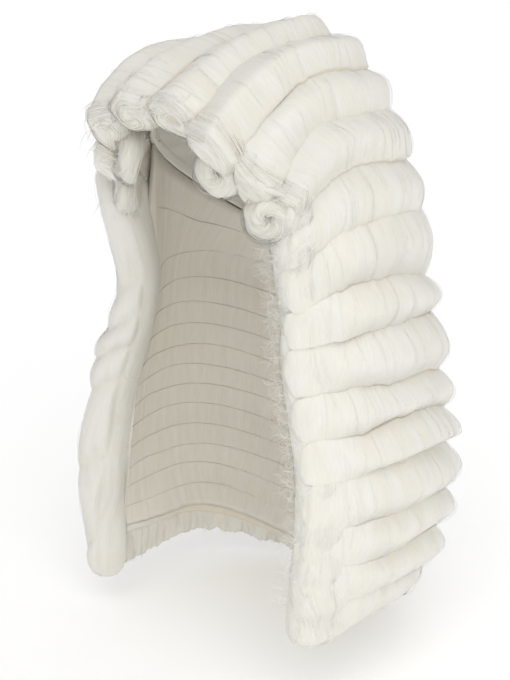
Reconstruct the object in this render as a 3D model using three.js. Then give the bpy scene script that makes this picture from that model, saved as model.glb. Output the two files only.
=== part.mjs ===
// A full-bottomed judge wig: rows of hair rolls on a cap and on a curtain that hangs from the cap's rim.
// The origin is where the top of the head meets the cap. +Z is up, the face looks along -Y, and the
// wearer's left is +X. Lengths are in millimetres.
import * as THREE from "three";

// Driving dimensions

const CAP = { radiusX: 76, radiusY: 95, radiusZ: 100, wall: 2, rimMiddleZ: -96, rimSwing: 60 };
const CAP_TURNS = 28;
const CAP_RINGS = 8;
const CURTAIN = { wall: 2, firstRow: 6, frontTurn: 58 };
const CLEAR_OF_CAP = 1.5;
const CLEAR_OF_CURTAIN = 1.2;

// One line for each roll's left half, from the parting down to the hem: its end at the face, its widest
// point beside the head, the middle of the back, and how far it swells outwards
const ROWS = [
  // frontX, frontY, frontZ, sideX, sideY, sideZ, backY, backZ, depth
  [19, -98, -32, 20, 5, 7, 48, 8, 16],
  [55, -94, -44, 54, -5, -3, 68, -10, 17],
  [70, -74, -71, 69, 0, -26, 86, -36, 17],
  [83, -52, -84, 81, 5, -54, 101, -68, 17],
  [84, -52, -108, 92, 8, -84, 112, -104, 17],
  [84, -48, -134, 100, 10, -120, 119, -146, 17],
  [86, -43, -167, 109, 10, -160, 123, -194, 17],
  [90, -46, -201, 116, 10, -197, 129, -238, 17],
  [99, -49, -234, 121, 10, -230, 135, -274, 17],
  [107, -51, -265, 126, 10, -261, 139, -306, 17],
  [111, -53, -294, 130, 10, -291, 141, -337, 17],
  [113, -56, -322, 128, 10, -323, 133, -364, 16],
  [113, -59, -348, 125, 10, -351, 122, -392, 16],
  [110, -59, -375, 114, 10, -380, 104, -418, 12],
].map(([frontX, frontY, frontZ, sideX, sideY, sideZ, backY, backZ, depth]) => (
  { frontX, frontY, frontZ, sideX, sideY, sideZ, backY, backZ, depth }
));

// The share of a row's half that runs beside the face, and the share where a crown roll ends
const LEG_SHARE = 0.38;
const CROWN_END = 0.88;

// Rolls swell away from a line down the middle of the head, and from its top end above the ears
const HEAD_LINE = { y: 10, topZ: -95 };

const ROLL = { gap: 0.8, innerDepth: 15, hangingInnerDepth: 11, hangingFrom: 5, hemRise: 10, lowCrest: 0.25 };
const ROLL_STEPS = 26;
const ROLL_SIDES = 8;

// The rounded end of a roll with the open eye of its curl: how far it stands ahead of the roll, and the
// share of the section that is left there
const ROLL_END = [
  // ahead, share
  [-3, 0],
  [3, 0.28],
  [8, 0.55],
  [6, 0.86],
].map(([ahead, share]) => ({ ahead, share }));

const CURL = { outer: 11.5, eye: 3.5, length: 17, round: 3, sides: 10 };
const TEMPLE_CURLS = [
  // x, y, z, turn outwards from the face in degrees
  [50, -89, -75, 24],
  [76, -73, -98, 40],
].map(([x, y, z, turn]) => ({ x, y, z, turn }));

const LOCK = { forward: 18.5, halfWidth: 10, halfDepth: 6, wave: 3, waves: 5, blunt: 0.04 };
const LOCK_STEPS = 20;
const LOCK_SIDES = 8;
const LOCK_TIP_Z = { left: -396, right: -414 };

const FRINGE = { top: 1, wall: 4, dropLeft: 6, dropRight: 28, shortest: 2, longest: 7, turn: 2.4, steps: 60 };

const HAIR_COLOUR = 0xe9e4d7;
const CAP_COLOUR = 0xd9d0be;

// A point of a row, from its end at the left of the face (0) round the back (0.5) to the right (1)
function rowPoint(row, along) {
  const toBack = 1 - Math.abs(2 * along - 1);
  const hand = along <= 0.5 ? 1 : -1;
  if (toBack < LEG_SHARE) {
    const ahead = 1 - toBack / LEG_SHARE;
    return new THREE.Vector3(
      hand * (row.sideX - (row.sideX - row.frontX) * ahead ** 2),
      row.sideY - (row.sideY - row.frontY) * ahead,
      row.sideZ - (row.sideZ - row.frontZ) * ahead ** 2,
    );
  }
  const turn = ((toBack - LEG_SHARE) / (1 - LEG_SHARE)) * (Math.PI / 2);
  return new THREE.Vector3(
    hand * row.sideX * Math.cos(turn),
    row.sideY + (row.backY - row.sideY) * Math.sin(turn),
    row.sideZ + (row.backZ - row.sideZ) * Math.sin(turn) ** 2,
  );
}

// The direction in which a row runs at a point, and the direction that faces away from the head there
function rowFrame(row, along) {
  const step = 0.01;
  const before = rowPoint(row, Math.max(0, along - step));
  const after = rowPoint(row, Math.min(1, along + step));
  const run = after.sub(before).normalize();
  const point = rowPoint(row, along);
  const outward = point.clone().sub(new THREE.Vector3(0, HEAD_LINE.y, Math.min(point.z, HEAD_LINE.topZ)));
  outward.addScaledVector(run, -outward.dot(run)).normalize();
  return { point, run, outward };
}

// Half the way from a row to its neighbour above (-1) or below (1), less half the gap between two rolls.
// The neighbour of a crown roll is its twin across the parting, and the last roll hangs free.
function halfWay(rowNumber, side, along) {
  const point = rowPoint(ROWS[rowNumber], along);
  const neighbour = ROWS[rowNumber + side];
  let way = new THREE.Vector3(0, 0, -ROLL.hemRise);
  if (neighbour) {
    way = rowPoint(neighbour, along).sub(point).multiplyScalar(0.5);
  } else if (side < 0) {
    way = new THREE.Vector3(-point.x, 0, 0);
  }
  return way.setLength(Math.max(way.length() - ROLL.gap / 2, ROLL.gap / 2));
}

// Moves a point that would be in the cap, or too near it, straight out from the middle of the head
function clearOfCap(point) {
  const middle = new THREE.Vector3(0, 0, -CAP.radiusZ);
  const out = point.clone().sub(middle);
  const reach = CAP.wall + CLEAR_OF_CAP;
  const share = Math.hypot(
    out.x / (CAP.radiusX + reach),
    out.y / (CAP.radiusY + reach),
    out.z / (CAP.radiusZ + reach),
  );
  return share < 1 ? middle.addScaledVector(out, 1 / share) : point;
}

// One section of a roll: swollen outwards with its crest low, flatter towards the head, and as high as its
// neighbours allow
function rollSection(rowNumber, along, ahead = 0, share = 1) {
  const row = ROWS[rowNumber];
  const { point, run, outward } = rowFrame(row, along);
  const up = halfWay(rowNumber, -1, along);
  const down = halfWay(rowNumber, 1, along);
  const inner = rowNumber < ROLL.hangingFrom ? ROLL.innerDepth : ROLL.hangingInnerDepth;
  const section = [];
  for (let side = 0; side < ROLL_SIDES; side += 1) {
    const angle = (2 * Math.PI * side) / ROLL_SIDES;
    const swell = row.depth * (1 - ROLL.lowCrest * Math.sin(angle));
    const across = Math.cos(angle) * (Math.cos(angle) > 0 ? swell : inner);
    const corner = point.clone().addScaledVector(run, ahead);
    corner.addScaledVector(outward, across * share);
    corner.addScaledVector(Math.sin(angle) > 0 ? up : down, Math.abs(Math.sin(angle)) * share);
    section.push(clearOfCap(corner));
  }
  return section;
}

// Keeps every corner of a crown roll on its own side of the parting
function keepToSide(section, hand) {
  for (const corner of section) {
    corner.x = hand * Math.max(hand * corner.x, ROLL.gap / 2);
  }
  return section;
}

// The sections of a roll from one place along its row to another, rounded at both ends
function rollSections(rowNumber, start, end, steps) {
  const sections = ROLL_END.map(({ ahead, share }) => rollSection(rowNumber, start, -ahead, share));
  for (let step = 0; step <= steps; step += 1) {
    sections.push(rollSection(rowNumber, start + ((end - start) * step) / steps));
  }
  for (const { ahead, share } of [...ROLL_END].reverse()) {
    sections.push(rollSection(rowNumber, end, ahead, share));
  }
  return sections;
}

function crownRollGeometry(hand) {
  const steps = Math.round((ROLL_STEPS * CROWN_END) / 2);
  const [start, end] = hand > 0 ? [0, CROWN_END / 2] : [1 - CROWN_END / 2, 1];
  return loft(rollSections(0, start, end, steps).map((section) => keepToSide(section, hand)));
}

function rollGeometry(rowNumber) {
  return loft(rollSections(rowNumber, 0, 1, ROLL_STEPS));
}

// A closed solid through sections that are closed outlines, all with the same number of corners
function loft(sections, closed = false) {
  const corners = sections[0].length;
  const faces = [];
  const quad = (a, b, c, d) => faces.push([a, b, c], [a, c, d]);
  const spans = closed ? sections.length : sections.length - 1;
  for (let span = 0; span < spans; span += 1) {
    const here = span * corners;
    const next = ((span + 1) % sections.length) * corners;
    for (let corner = 0; corner < corners; corner += 1) {
      const other = (corner + 1) % corners;
      quad(here + corner, here + other, next + other, next + corner);
    }
  }
  if (!closed) {
    const last = (sections.length - 1) * corners;
    for (let corner = 0; corner < corners / 2 - 1; corner += 1) {
      const far = corners - 1 - corner;
      quad(corner, far, far - 1, corner + 1);
      quad(last + corner, last + corner + 1, last + far - 1, last + far);
    }
  }
  return solidGeometry(sections.flat(), faces);
}

// Leaves out the triangles with no area and turns the rest so that they face out
function solidGeometry(points, faces) {
  const smallest = 1e-6;
  const kept = faces.map((face) => face.map((index) => points[index])).filter(([a, b, c]) => (
    b.clone().sub(a).cross(c.clone().sub(a)).length() > smallest
  ));
  const volume = kept.reduce((sum, [a, b, c]) => sum + a.dot(b.clone().cross(c)), 0);
  const facingOut = volume > 0 ? kept : kept.map(([a, b, c]) => [a, c, b]);
  return new THREE.BufferGeometry().setFromPoints(facingOut.flat());
}

// A point of the cap, whose wall grows outwards from the head: turn is from the front of the head, and down
// is from its top (0) to the rim (1)
function capPoint(turn, down, grow) {
  const rimZ = CAP.rimMiddleZ + CAP.rimSwing * Math.cos(turn);
  const tilt = down * Math.acos((rimZ + CAP.radiusZ) / (CAP.radiusZ + grow));
  return new THREE.Vector3(
    (CAP.radiusX + grow) * Math.sin(tilt) * Math.sin(turn),
    -(CAP.radiusY + grow) * Math.sin(tilt) * Math.cos(turn),
    -CAP.radiusZ + (CAP.radiusZ + grow) * Math.cos(tilt),
  );
}

function capGeometry() {
  const down = Array.from({ length: CAP_RINGS + 1 }, (_, ring) => ring / CAP_RINGS);
  const sections = [];
  for (let step = 0; step < CAP_TURNS; step += 1) {
    const turn = (2 * Math.PI * step) / CAP_TURNS;
    const outer = down.map((share) => capPoint(turn, share, CAP.wall));
    const inner = down.map((share) => capPoint(turn, share, 0));
    sections.push([...outer, ...inner.reverse()]);
  }
  return loft(sections, true);
}

// The curtain starts just under the cap's rim and then follows the inner side of each hanging roll
function curtainGeometry() {
  const underRim = new THREE.Vector3(0, 0, -CLEAR_OF_CURTAIN);
  const reach = ROLL.hangingInnerDepth + CLEAR_OF_CURTAIN;
  const firstTurn = THREE.MathUtils.degToRad(CURTAIN.frontTurn);
  const sections = [];
  for (let step = 0; step <= ROLL_STEPS; step += 1) {
    const along = step / ROLL_STEPS;
    const turn = THREE.MathUtils.lerp(firstTurn, 2 * Math.PI - firstTurn, along);
    const outer = [capPoint(turn, 1, CAP.wall).add(underRim)];
    const inner = [capPoint(turn, 1, 0).add(underRim)];
    for (const row of ROWS.slice(CURTAIN.firstRow)) {
      const { point, outward } = rowFrame(row, along);
      outer.push(point.clone().addScaledVector(outward, -reach));
      inner.push(point.clone().addScaledVector(outward, -reach - CURTAIN.wall));
    }
    sections.push([...outer, ...inner.reverse()]);
  }
  return loft(sections);
}

// A short open ringlet, turned about its own eye
function curlGeometry() {
  const half = CURL.length / 2;
  const profile = [
    [CURL.eye, -half + CURL.round],
    [CURL.eye + CURL.round, -half],
    [CURL.outer - CURL.round, -half],
    [CURL.outer, -half + CURL.round],
    [CURL.outer, half - CURL.round],
    [CURL.outer - CURL.round, half],
    [CURL.eye + CURL.round, half],
    [CURL.eye, half - CURL.round],
    [CURL.eye, -half + CURL.round],
  ].map(([radius, height]) => new THREE.Vector2(radius, height));
  return new THREE.LatheGeometry(profile, CURL.sides);
}

// A wavy lock down the front edge of a lappet, just ahead of the ends of the rolls
function lockGeometry(hand, tipZ) {
  const ends = ROWS.slice(CURTAIN.firstRow).map((row) => (
    new THREE.Vector3(hand * row.frontX, row.frontY - LOCK.forward, row.frontZ)
  ));
  const tip = ends[ends.length - 1].clone().setZ(tipZ);
  const route = new THREE.CatmullRomCurve3([...ends, tip]);
  const sections = [];
  for (let step = 0; step <= LOCK_STEPS; step += 1) {
    const share = step / LOCK_STEPS;
    const centre = route.getPoint(share);
    centre.x += hand * LOCK.wave * Math.sin(2 * Math.PI * LOCK.waves * share);
    const swell = Math.sin(Math.PI * THREE.MathUtils.lerp(LOCK.blunt, 1 - LOCK.blunt, share)) ** 0.4;
    sections.push(Array.from({ length: LOCK_SIDES }, (_, side) => {
      const angle = (2 * Math.PI * side) / LOCK_SIDES;
      const across = new THREE.Vector3(LOCK.halfWidth * Math.cos(angle), LOCK.halfDepth * Math.sin(angle), 0);
      return centre.clone().addScaledVector(across, swell);
    }));
  }
  return loft(sections);
}

// Short locks of uneven length along the under side of the last roll, hanging lower towards the right
function fringeGeometry() {
  const row = ROWS[ROWS.length - 1];
  const sections = [];
  for (let step = 0; step <= FRINGE.steps; step += 1) {
    const along = step / FRINGE.steps;
    const { point, outward } = rowFrame(row, along);
    const level = new THREE.Vector3(outward.x, outward.y, 0).setLength(FRINGE.wall / 2);
    const uneven = (1 + Math.sin(FRINGE.turn * step)) / 2;
    const lockLength = step % 2 ? THREE.MathUtils.lerp(FRINGE.shortest, FRINGE.longest, uneven) : 0;
    const top = point.z - ROLL.hemRise - FRINGE.top;
    const bottom = top - THREE.MathUtils.lerp(FRINGE.dropLeft, FRINGE.dropRight, along) - lockLength;
    const outer = point.clone().add(level);
    const inner = point.clone().sub(level);
    sections.push([
      outer.clone().setZ(top),
      outer.clone().setZ(bottom),
      inner.clone().setZ(bottom),
      inner.clone().setZ(top),
    ]);
  }
  return loft(sections);
}

const wig = new THREE.Group();

function addPiece(name, geometry, colour = HAIR_COLOUR) {
  const material = new THREE.MeshStandardMaterial({ color: colour, roughness: 0.7, metalness: 0 });
  const mesh = new THREE.Mesh(geometry, material);
  mesh.name = name;
  wig.add(mesh);
  return mesh;
}

addPiece("cap", capGeometry(), CAP_COLOUR);
addPiece("curtain", curtainGeometry(), CAP_COLOUR);

for (let rowNumber = 1; rowNumber < ROWS.length; rowNumber += 1) {
  const label = String(rowNumber + 1).padStart(2, "0");
  addPiece(`roll_${label}`, rollGeometry(rowNumber));
}

for (const [side, hand] of [["left", 1], ["right", -1]]) {
  addPiece(`crown_roll_${side}`, crownRollGeometry(hand));
  TEMPLE_CURLS.forEach((place, number) => {
    const curl = addPiece(`temple_curl_${side}_${number + 1}`, curlGeometry());
    curl.position.set(hand * place.x, place.y, place.z);
    curl.rotation.z = hand * THREE.MathUtils.degToRad(place.turn);
  });
  addPiece(`front_lock_${side}`, lockGeometry(hand, LOCK_TIP_Z[side]));
}

addPiece("hem_fringe", fringeGeometry());

export default wig;
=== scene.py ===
"""A full-bottomed judge wig: rolls of off-white hair on a net cap and on a curtain that hangs from it."""
import math
from collections import namedtuple

import bpy
import numpy as np
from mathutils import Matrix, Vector


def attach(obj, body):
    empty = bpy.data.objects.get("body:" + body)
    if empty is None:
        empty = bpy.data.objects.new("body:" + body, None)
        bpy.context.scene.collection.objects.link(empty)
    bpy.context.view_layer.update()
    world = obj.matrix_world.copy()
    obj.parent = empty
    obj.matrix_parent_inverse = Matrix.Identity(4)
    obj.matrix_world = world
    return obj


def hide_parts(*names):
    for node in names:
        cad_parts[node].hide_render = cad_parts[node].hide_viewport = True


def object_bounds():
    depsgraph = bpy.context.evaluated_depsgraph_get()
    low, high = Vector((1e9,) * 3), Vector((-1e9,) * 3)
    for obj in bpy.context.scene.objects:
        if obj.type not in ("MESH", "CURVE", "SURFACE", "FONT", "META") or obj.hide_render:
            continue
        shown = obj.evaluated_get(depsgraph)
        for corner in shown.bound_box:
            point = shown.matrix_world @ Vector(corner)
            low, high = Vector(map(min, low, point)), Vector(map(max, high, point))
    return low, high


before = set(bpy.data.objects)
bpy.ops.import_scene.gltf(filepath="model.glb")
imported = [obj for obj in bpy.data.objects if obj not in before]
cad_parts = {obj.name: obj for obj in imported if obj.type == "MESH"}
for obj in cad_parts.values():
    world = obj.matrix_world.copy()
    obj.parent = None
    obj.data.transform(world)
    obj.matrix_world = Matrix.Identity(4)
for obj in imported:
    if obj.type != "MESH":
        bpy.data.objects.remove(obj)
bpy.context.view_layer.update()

# Shapes are worked out in millimetres, in the part's frame, and stored in metres
MM = 0.001
FULL_TURN = 2 * math.pi
UP = np.array([0.0, 0.0, 1.0])
LEVEL = np.array([1.0, 1.0, 0.0])
# The sign of x on each side of the wig
HANDS = {"left": 1, "right": -1}
# Each sub-part draws its random numbers from the seed and a key of its own, and a roll from its number and
# the steps to its start
SEED = 1740
CREASE_KEY, CURL_KEY, EDGE_KEY, FRIZZ_KEY = 100, 201, 300, 400
FRINGE_KEY, CAP_KEY, CURTAIN_KEY = 500, 600, 700
START_STEPS = 100
# Random lines and fields repeat after this many values
LINE_KNOTS = 997
FIELD_KNOTS = 61

# Each roll's left half, from the parting to the hem, as in the solids: its end at the front, its widest
# point at the side, the middle of the back, and how far it swells outwards
Row = namedtuple("Row", "front_x front_y front_z side_x side_y side_z back_y back_z depth")
ROWS = [Row(*line) for line in (
    (19, -98, -32, 20, 5, 7, 48, 8, 16),
    (55, -94, -44, 54, -5, -3, 68, -10, 17),
    (70, -74, -71, 69, 0, -26, 86, -36, 17),
    (83, -52, -84, 81, 5, -54, 101, -68, 17),
    (84, -52, -108, 92, 8, -84, 112, -104, 17),
    (84, -48, -134, 100, 10, -120, 119, -146, 17),
    (86, -43, -167, 109, 10, -160, 123, -194, 17),
    (90, -46, -201, 116, 10, -197, 129, -238, 17),
    (99, -49, -234, 121, 10, -230, 135, -274, 17),
    (107, -51, -265, 126, 10, -261, 139, -306, 17),
    (111, -53, -294, 130, 10, -291, 141, -337, 17),
    (113, -56, -322, 128, 10, -323, 133, -364, 16),
    (113, -59, -348, 125, 10, -351, 122, -392, 16),
    (110, -59, -375, 114, 10, -380, 104, -418, 12),
)]
# The points along a row, and the step in which its direction is found
ROW_STEPS = 420
RUN_STEP = 0.01
# A row runs straight along the side for a share of its half, then turns round the back. The crown rolls stop
# short of the back, and all rolls swell away from a line down the middle of the wig
LEG_SHARE = 0.38
CROWN_END = 0.86
MIDLINE_Y = 10.0
MIDLINE_TOP_Z = -95.0
# The first roll that hangs below the cap, how far rolls reach into their neighbours and inwards, and how far
# the last one reaches below its row
HANGING_FROM = 5
UPPER_OVERLAP = 2.6
ROLL_OVERLAP = 0.4
INNER_DEPTH = 15.0
HANGING_INNER_DEPTH = 11.0
HEM_RISE = 10.0
PARTING_GAP = 0.1

# The cap as in the solids, with a rim that rises to the front, and how far the hair stays clear of it
CAP_RADII = np.array([76.0, 95.0, 100.0])
CAP_CENTRE = np.array([0.0, 0.0, -100.0])
CAP_WALL = 2.0
CAP_RIM_MIDDLE_Z = -96.0
CAP_RIM_SWING = 60.0
CLEAR_OF_CAP = 1.5

# The swell of a roll: how sharp its crest is, the share of its depth that is left in the creases of the
# hanging and of the upper rolls, how much that changes, and how far the upper rolls sag
CREST_POWER = 2.6
CREASE_FLOOR = 0.32
UPPER_FLOOR = 0.58
FLOOR_CHANGE = 0.13
UPPER_SAG = 0.12
# The share left in the upper rolls' creases at the front, and the way back from there over which it fades
FRONT_FLOOR = 0.7
FRONT_FLOOR_WAY = 30.0
# How full the upper rolls are along their way, by number and by side of the parting, as in the photograph
FULLNESS = {
    (0, 1): ((0.6, 0.8, 0.93, 1.0), (1.0, 1.28, 1.2, 0.9)),
    (0, -1): ((0, 0.15, 0.5, 0.75), (0.95, 0.7, 0.7, 1.0)),
    (1, 0): ((0.66, 0.77, 0.9, 0.96, 1.0), (1.0, 0.72, 1.2, 1.2, 0.98)),
    (2, 0): ((0.85, 1.0), (1.0, 0.8)),
    (3, 0): ((0.85, 1.0), (1.0, 0.8)),
}
EVEN = ((0,), (1,))
# The share by which the hanging rolls thin out towards the front, by number, and from how far back
HANGING_TAPER = ((5, 9, 11, 13), (0.2, 0.2, 0.22, 0.26))
HANGING_TAPER_WAY = 36.0
# How far creases wander from half way between two rows, in a broad and a fine wave along them, and how far
# the crease under some rolls is moved
CREASE_WANDER = 0.17
CREASE_WAVES = (0.085, 0.013)
CREASE_FINE = 0.3
CREASE_SHIFT = {5: 0.32, 6: -0.2, 8: -0.2, 9: -0.4}
# Where the creases of the hanging rolls start to open and where they are open, from the front, by number
CREASE_OPENS = ((5, 9, 11, 13), (-4, -4, 6, 10), (42, 44, 60, 66))
OPENS_WANDER = 6.0
UPPER_OPENED = 0.8

# The grooves between clumps, locks and threads of hair: how far apart they are, and how deep
Grooves = namedtuple("Grooves", "spacing height")
ROLL_GROOVES = Grooves((9.5, 3.6, 1.5), (0.12, 0.06, 0.035))
EDGE_GROOVES = Grooves((7.0, 2.8, 1.3), (0.24, 0.1, 0.05))
# Other unevenness on a roll, along it and round it: its spacing, its size, and where patches are read
LEAN_SPACING = 70.0
LEAN = 4.0
BACKING_SPACING = 55.0
LUMP_SPACING = (48.0, 1.1)
LUMP_HEIGHT = 1.6
PATCH_SPACING = (14.0, 0.7)
PATCH_SHARE = 0.6
PATCH_SHIFT = 300.0
PATCH_WANDER = 1.2
# How much painted shade darkens the slope above an upper roll's crest and below a hanging one's, where on
# the slope it begins and ends, how lumps and clumps spread it, and how wide the painted shade and the
# painted warm shade of a crease are
UPPER_SLOPE = (0.34, -0.2, 1.0)
HANGING_SLOPE = (0.5, -0.25, 0.8)
SLOPE_LUMPS = (2.7, 0.3)
SLOPE_CLUMPS = 0.12
CREASE_INMOST = 0.02
CREASE_WIDTH = 0.42
STRAND_CREASE_WIDTH = 0.32
VALLEY_WIDTH = 0.85
# The tint of a roll and of a band: its middle, what clumps change and where these are read, and the painted
# warm shade that the valley round a crease adds to a roll's tint
ROLL_TINT = (0.3, 0.25, 40.0)
EDGE_TINT = (0.35, 0.25, 50.0)
VALLEY_SHADE = 0.6

# The ends of a roll: how far the hair stands ahead, and the share of the section left there
END_SHAPES = {
    "eye": ((0, 1.0), (5.0, 1.02), (9.5, 0.95), (12.8, 0.81), (13.8, 0.63), (12.6, 0.46), (10.2, 0.35),
            (7.6, 0.27), (5.8, 0.17), (5.2, 0.05)),
    "swirl": ((0, 1.0), (4.5, 1.02), (9.2, 0.96), (13.2, 0.83), (15.8, 0.64), (17.0, 0.43), (16.6, 0.25),
              (15.6, 0.12), (15.2, 0.03)),
    "flat": ((0, 1.0), (6.0, 0.99), (11.0, 0.94), (14.6, 0.82), (16.6, 0.62), (17.6, 0.4), (18.0, 0.2),
             (18.0, 0.05)),
}
END_RADIUS = 17.0
# The share of an end's reach ahead that is kept, by the roll's number and its side
END_REACH = {(0, 1): 0.5, (0, -1): 0.5, (1, -1): 0.55}
FLAT_ENDS_FROM = 4
END_RINGS = 20
END_FINE = 60
# The shares of the section between which an end turns round, the body's painted shade fades, and painted
# shade darkens an eye
END_ROUND = (0.85, 0.45)
BODY_SHARE = (0.6, 1.0)
EYE_SHARE = (0.45, 0.25)
EYE_DIM = 0.8
# The whorl on an end: its pitch and arms, the way along the end in which it begins, and its two heights
WHORL_PITCH = 2.6
WHORL_ARMS = 6
WHORL_WAY = (3, 15)
WHORL_HEIGHTS = (1.2, 0.5)
WHORL_FINER = 3
# The mesh of a roll: the step along it, and the angles of the points round it, closest at the creases
COLUMN_STEP = 0.9
SEEN_ANGLES = (11, 22, 34, 46, 58, 70, 80, 88)
ROLL_ANGLES = (*(-angle for angle in SEEN_ANGLES[::-1]), 0, *SEEN_ANGLES, 92, 115, 150, 180, 210, 245, 268)
OUTER_FACE = (-0.35, 0.3)

# Loose strands: the points along each, how thick they are, the share of that at the tips, and how far they
# stand off the hair
Loose = namedtuple("Loose", "points thick tip lift")
ROLL_LOOSE = Loose(9, (0.06, 0.11), 0.55, (0.2, 2.2))
END_LOOSE = Loose(11, (0.07, 0.13), 0.3, (0.2, 2.5))
CURL_LOOSE = Loose(14, (0.08, 0.16), 0.5, (0.2, 2.4))
EDGE_LOOSE = Loose(12, (0.06, 0.11), 0.5, (0.2, 1.8))
COMBED_LOOSE = Loose(12, (0.2, 0.45), 0.5, (0.5, 5.0))
FRINGE_LOOSE = Loose(7, (0.09, 0.18), 0.5, (0.2, 0.8))
STRAND_SINK = -0.1
STRAND_TINT = (0.1, 0.9)
STRAND_ROUND = 0.3
# The places of strands in the hair's streaks, and of their cells in the bake map
STREAK_SPREAD = 500.0
STREAK_SIDE = 1.3
CELL_SHAPE = 8
CELL_FILL = 0.9
# Strands on a roll: how many, where round it they start, how far they sweep, how low they go, how far past
# its ends they are, how they drift and wave along it, how far painted shade darkens them in a crease, and
# the steps in which the way that they face is found
STRANDS_PER_MM = 0.16
STRAND_START = (30, 112)
STRAND_SWEEP = (60, 190)
STRAND_LOWEST = -118
STRAND_PAST = 2.0
STRAND_DRIFT = 2.4
STRAND_WAVE = (0.5, 5)
STRAND_DIM = 0.6
ROLL_FACING_STEPS = (1.0, 0.05)
# Strands on an end: how many, how many of them are thick locks and how thick and sunk these are, how far
# they sweep, the share of an end's way in which they start, and how far they face ahead
END_STRANDS = 84
END_LOCKS = 34
LOCK_THICK = (0.4, 1.0)
LOCK_SINK = -0.45
LOCK_SIDES = 5
END_SWEEP = (70, 190)
END_STARTS = {"eye": (-0.2, 0.35), "swirl": (-0.2, 0.55)}
END_FACING = 8

# Temple curls: place on the left side, the turn outwards from the front in degrees, and the radius of the
# curl and of its eye, which is closed below 0
Curl = namedtuple("Curl", "place turn outer eye")
TEMPLE_CURLS = (Curl((51, -89, -67), 24, 17.5, -4.0), Curl((77, -72, -96), 40, 16.0, -2.0))
CURL_LENGTH = 20.0
# The curls' size, and how far they are tucked aside into the rolls' ends and back, on the left and the right
CURL_TUCK = {1: (1.0, 0.0, 0.0), -1: (1.3, 6.0, 10.0)}
# Their mesh, the lumps and grooves on it, the streaks and tint of their hair, and the core that loose
# strands face away from
CURL_GRID = (56, 84)
CURL_LUMPS = 7
CURL_LUMP_HEIGHT = 1.8
CURL_GROOVES = 34
CURL_GROOVE_HEIGHT = 0.5
CURL_SINK = -0.6
CURL_STREAK = 9.0
CURL_TINT = 0.5
CURL_CORE = 0.5
# The strands on them: how many, how far they stand off, where round the thickness they start, and how far
# they go round that and round the eye
CURL_STRANDS = 130
CURL_RISE = 0.6
CURL_START = (-2.6, 0.9)
CURL_INWARD = (0.2, 1.1)
CURL_SWEEP = (1.2, 3.4)

# The band of hair down the front edge of a lappet: its outline outwards and forward of the rolls' ends, its
# middle, and the part of its outline that is seen
EDGE_FIRST_ROW = 2
EDGE_OUTLINE = (
    (6.5, -46), (9.0, -33), (11.0, -20), (12.6, -9), (13.4, 0), (13.2, 7), (11.4, 14), (7, 19.5), (0, 21.5),
    (-8, 19.5), (-14.5, 13), (-17, 5), (-15.5, -3), (-9, -10), (-2, -22), (2, -38))
EDGE_STEPS = 16
EDGE_FINE = 480
EDGE_GRID = (180, 130)
EDGE_END = 0.002
EDGE_MIDDLE = (1.0, 4.0)
EDGE_SEEN = (30.0, 116.0)
LOCK_TIP_Z = {"left": -396.0, "right": -420.0}
# The share of the outline kept at the top, the rows in which it grows to the whole, and the rows of the tip
EDGE_TOP = {"left": 0.75, "right": 0.2}
EDGE_TOP_ROWS = (0.2, 1.7)
EDGE_TIP_ROWS = 0.7
# By row: the shares of the outline that are kept behind the rolls' ends, in its height and in its reach
# forward, how far a band stands out from the rolls' ends, as in the photograph, and how far painted shade
# darkens its hair
EDGE_BACK = ((2, 4, 9, 11, 13), (0.1, 0.25, 0.4, 0.5, 0.62))
EDGE_HIGH = {"left": ((2, 5.1, 5.9, 8.5, 10.5, 13), (1.0, 1.0, 0.77, 0.8, 0.97, 1.1)), "right": EVEN}
EDGE_REACH = {"left": ((2, 5, 9, 13), (1.0, 0.86, 0.86, 1.0)), "right": EVEN}
EDGE_OUT = {
    "left": ((2,), (0,)),
    "right": (range(2, 14), (6, 5, 4.2, 4.4, 2.0, 2.4, 5.6, 4.2, 5.8, 7.0, 2.3, -1.1)),
}
EDGE_OUT_FACE = (-8, 8)
EDGE_DIM = {"left": ((2, 8, 10), (0.25, 0.22, 0.1)), "right": ((2,), (0.42,))}
# The left band is scalloped row by row, and both sway: how far, in how many rows, and where on the outline
EDGE_SCALLOP = -1.6
EDGE_SWAY = 0.8
EDGE_SWAY_ROWS = 1.3
EDGE_SWAY_FACE = (-4, 9)
# The right band bulges between notches, as in the photograph: rows below its top, and how far it stands out
Bulge = namedtuple("Bulge", "start height")
EDGE_BULGES = [Bulge(*line) for line in (
    (-0.6, 3.5), (1.7, 0.0), (4.5, 3.0), (5.27, 5.0), (6.0, 3.4), (6.85, 4.5), (9.2, 4.0), (11.62, 3.6),
    (12.3, 0.0))]
BULGE_POWER = 0.7
BULGE_STOP = 1.001
BULGE_FACE = (-7, -3)
# The bulges rise towards the front edge: by how many rows, and where round the outline
BULGE_SLANT = 0.5
BULGE_SLANT_WAY = (56.0, 80.0)
# The painted shade on the left band's scallops, and in the right one's notches, on its inner face and along
# the creases between rows there
SCALLOP_DIM = 0.1
SCALLOP_PLACE = 0.62
SCALLOP_FACE = (-0.1, 1)
NOTCH_DIM = 0.22
EDGE_INNER = (79.5, 81.5)
EDGE_INNER_DIM = 0.54
ROW_CREASE_DIM = 0.1
ROW_CREASE_WIDTH = 0.06
# The strands of a band: how they lean, how they ripple, and how long one row is in their streaks
EDGE_LEAN_SPACING = (1.6, 30)
EDGE_LEAN = 5.0
EDGE_RIPPLE = 0.12
EDGE_STREAK = 30
# Loose strands on a band: how many, how many rows long, where the first start and how far from the tip the
# last do and end, how they drift and wave, and the steps in which the way that they face is found
EDGE_STRANDS = 170
EDGE_STRAND_ROWS = (0.8, 2.4)
EDGE_STRAND_TOP = -0.1
EDGE_STRAND_TIP = (1.2, 0.05)
EDGE_STRAND_DRIFT = 2.5
EDGE_STRAND_WAVE = (0.5, 9)
EDGE_INSIDE = -6.0
EDGE_FACING_STEPS = (0.04, 0.6)

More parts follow.
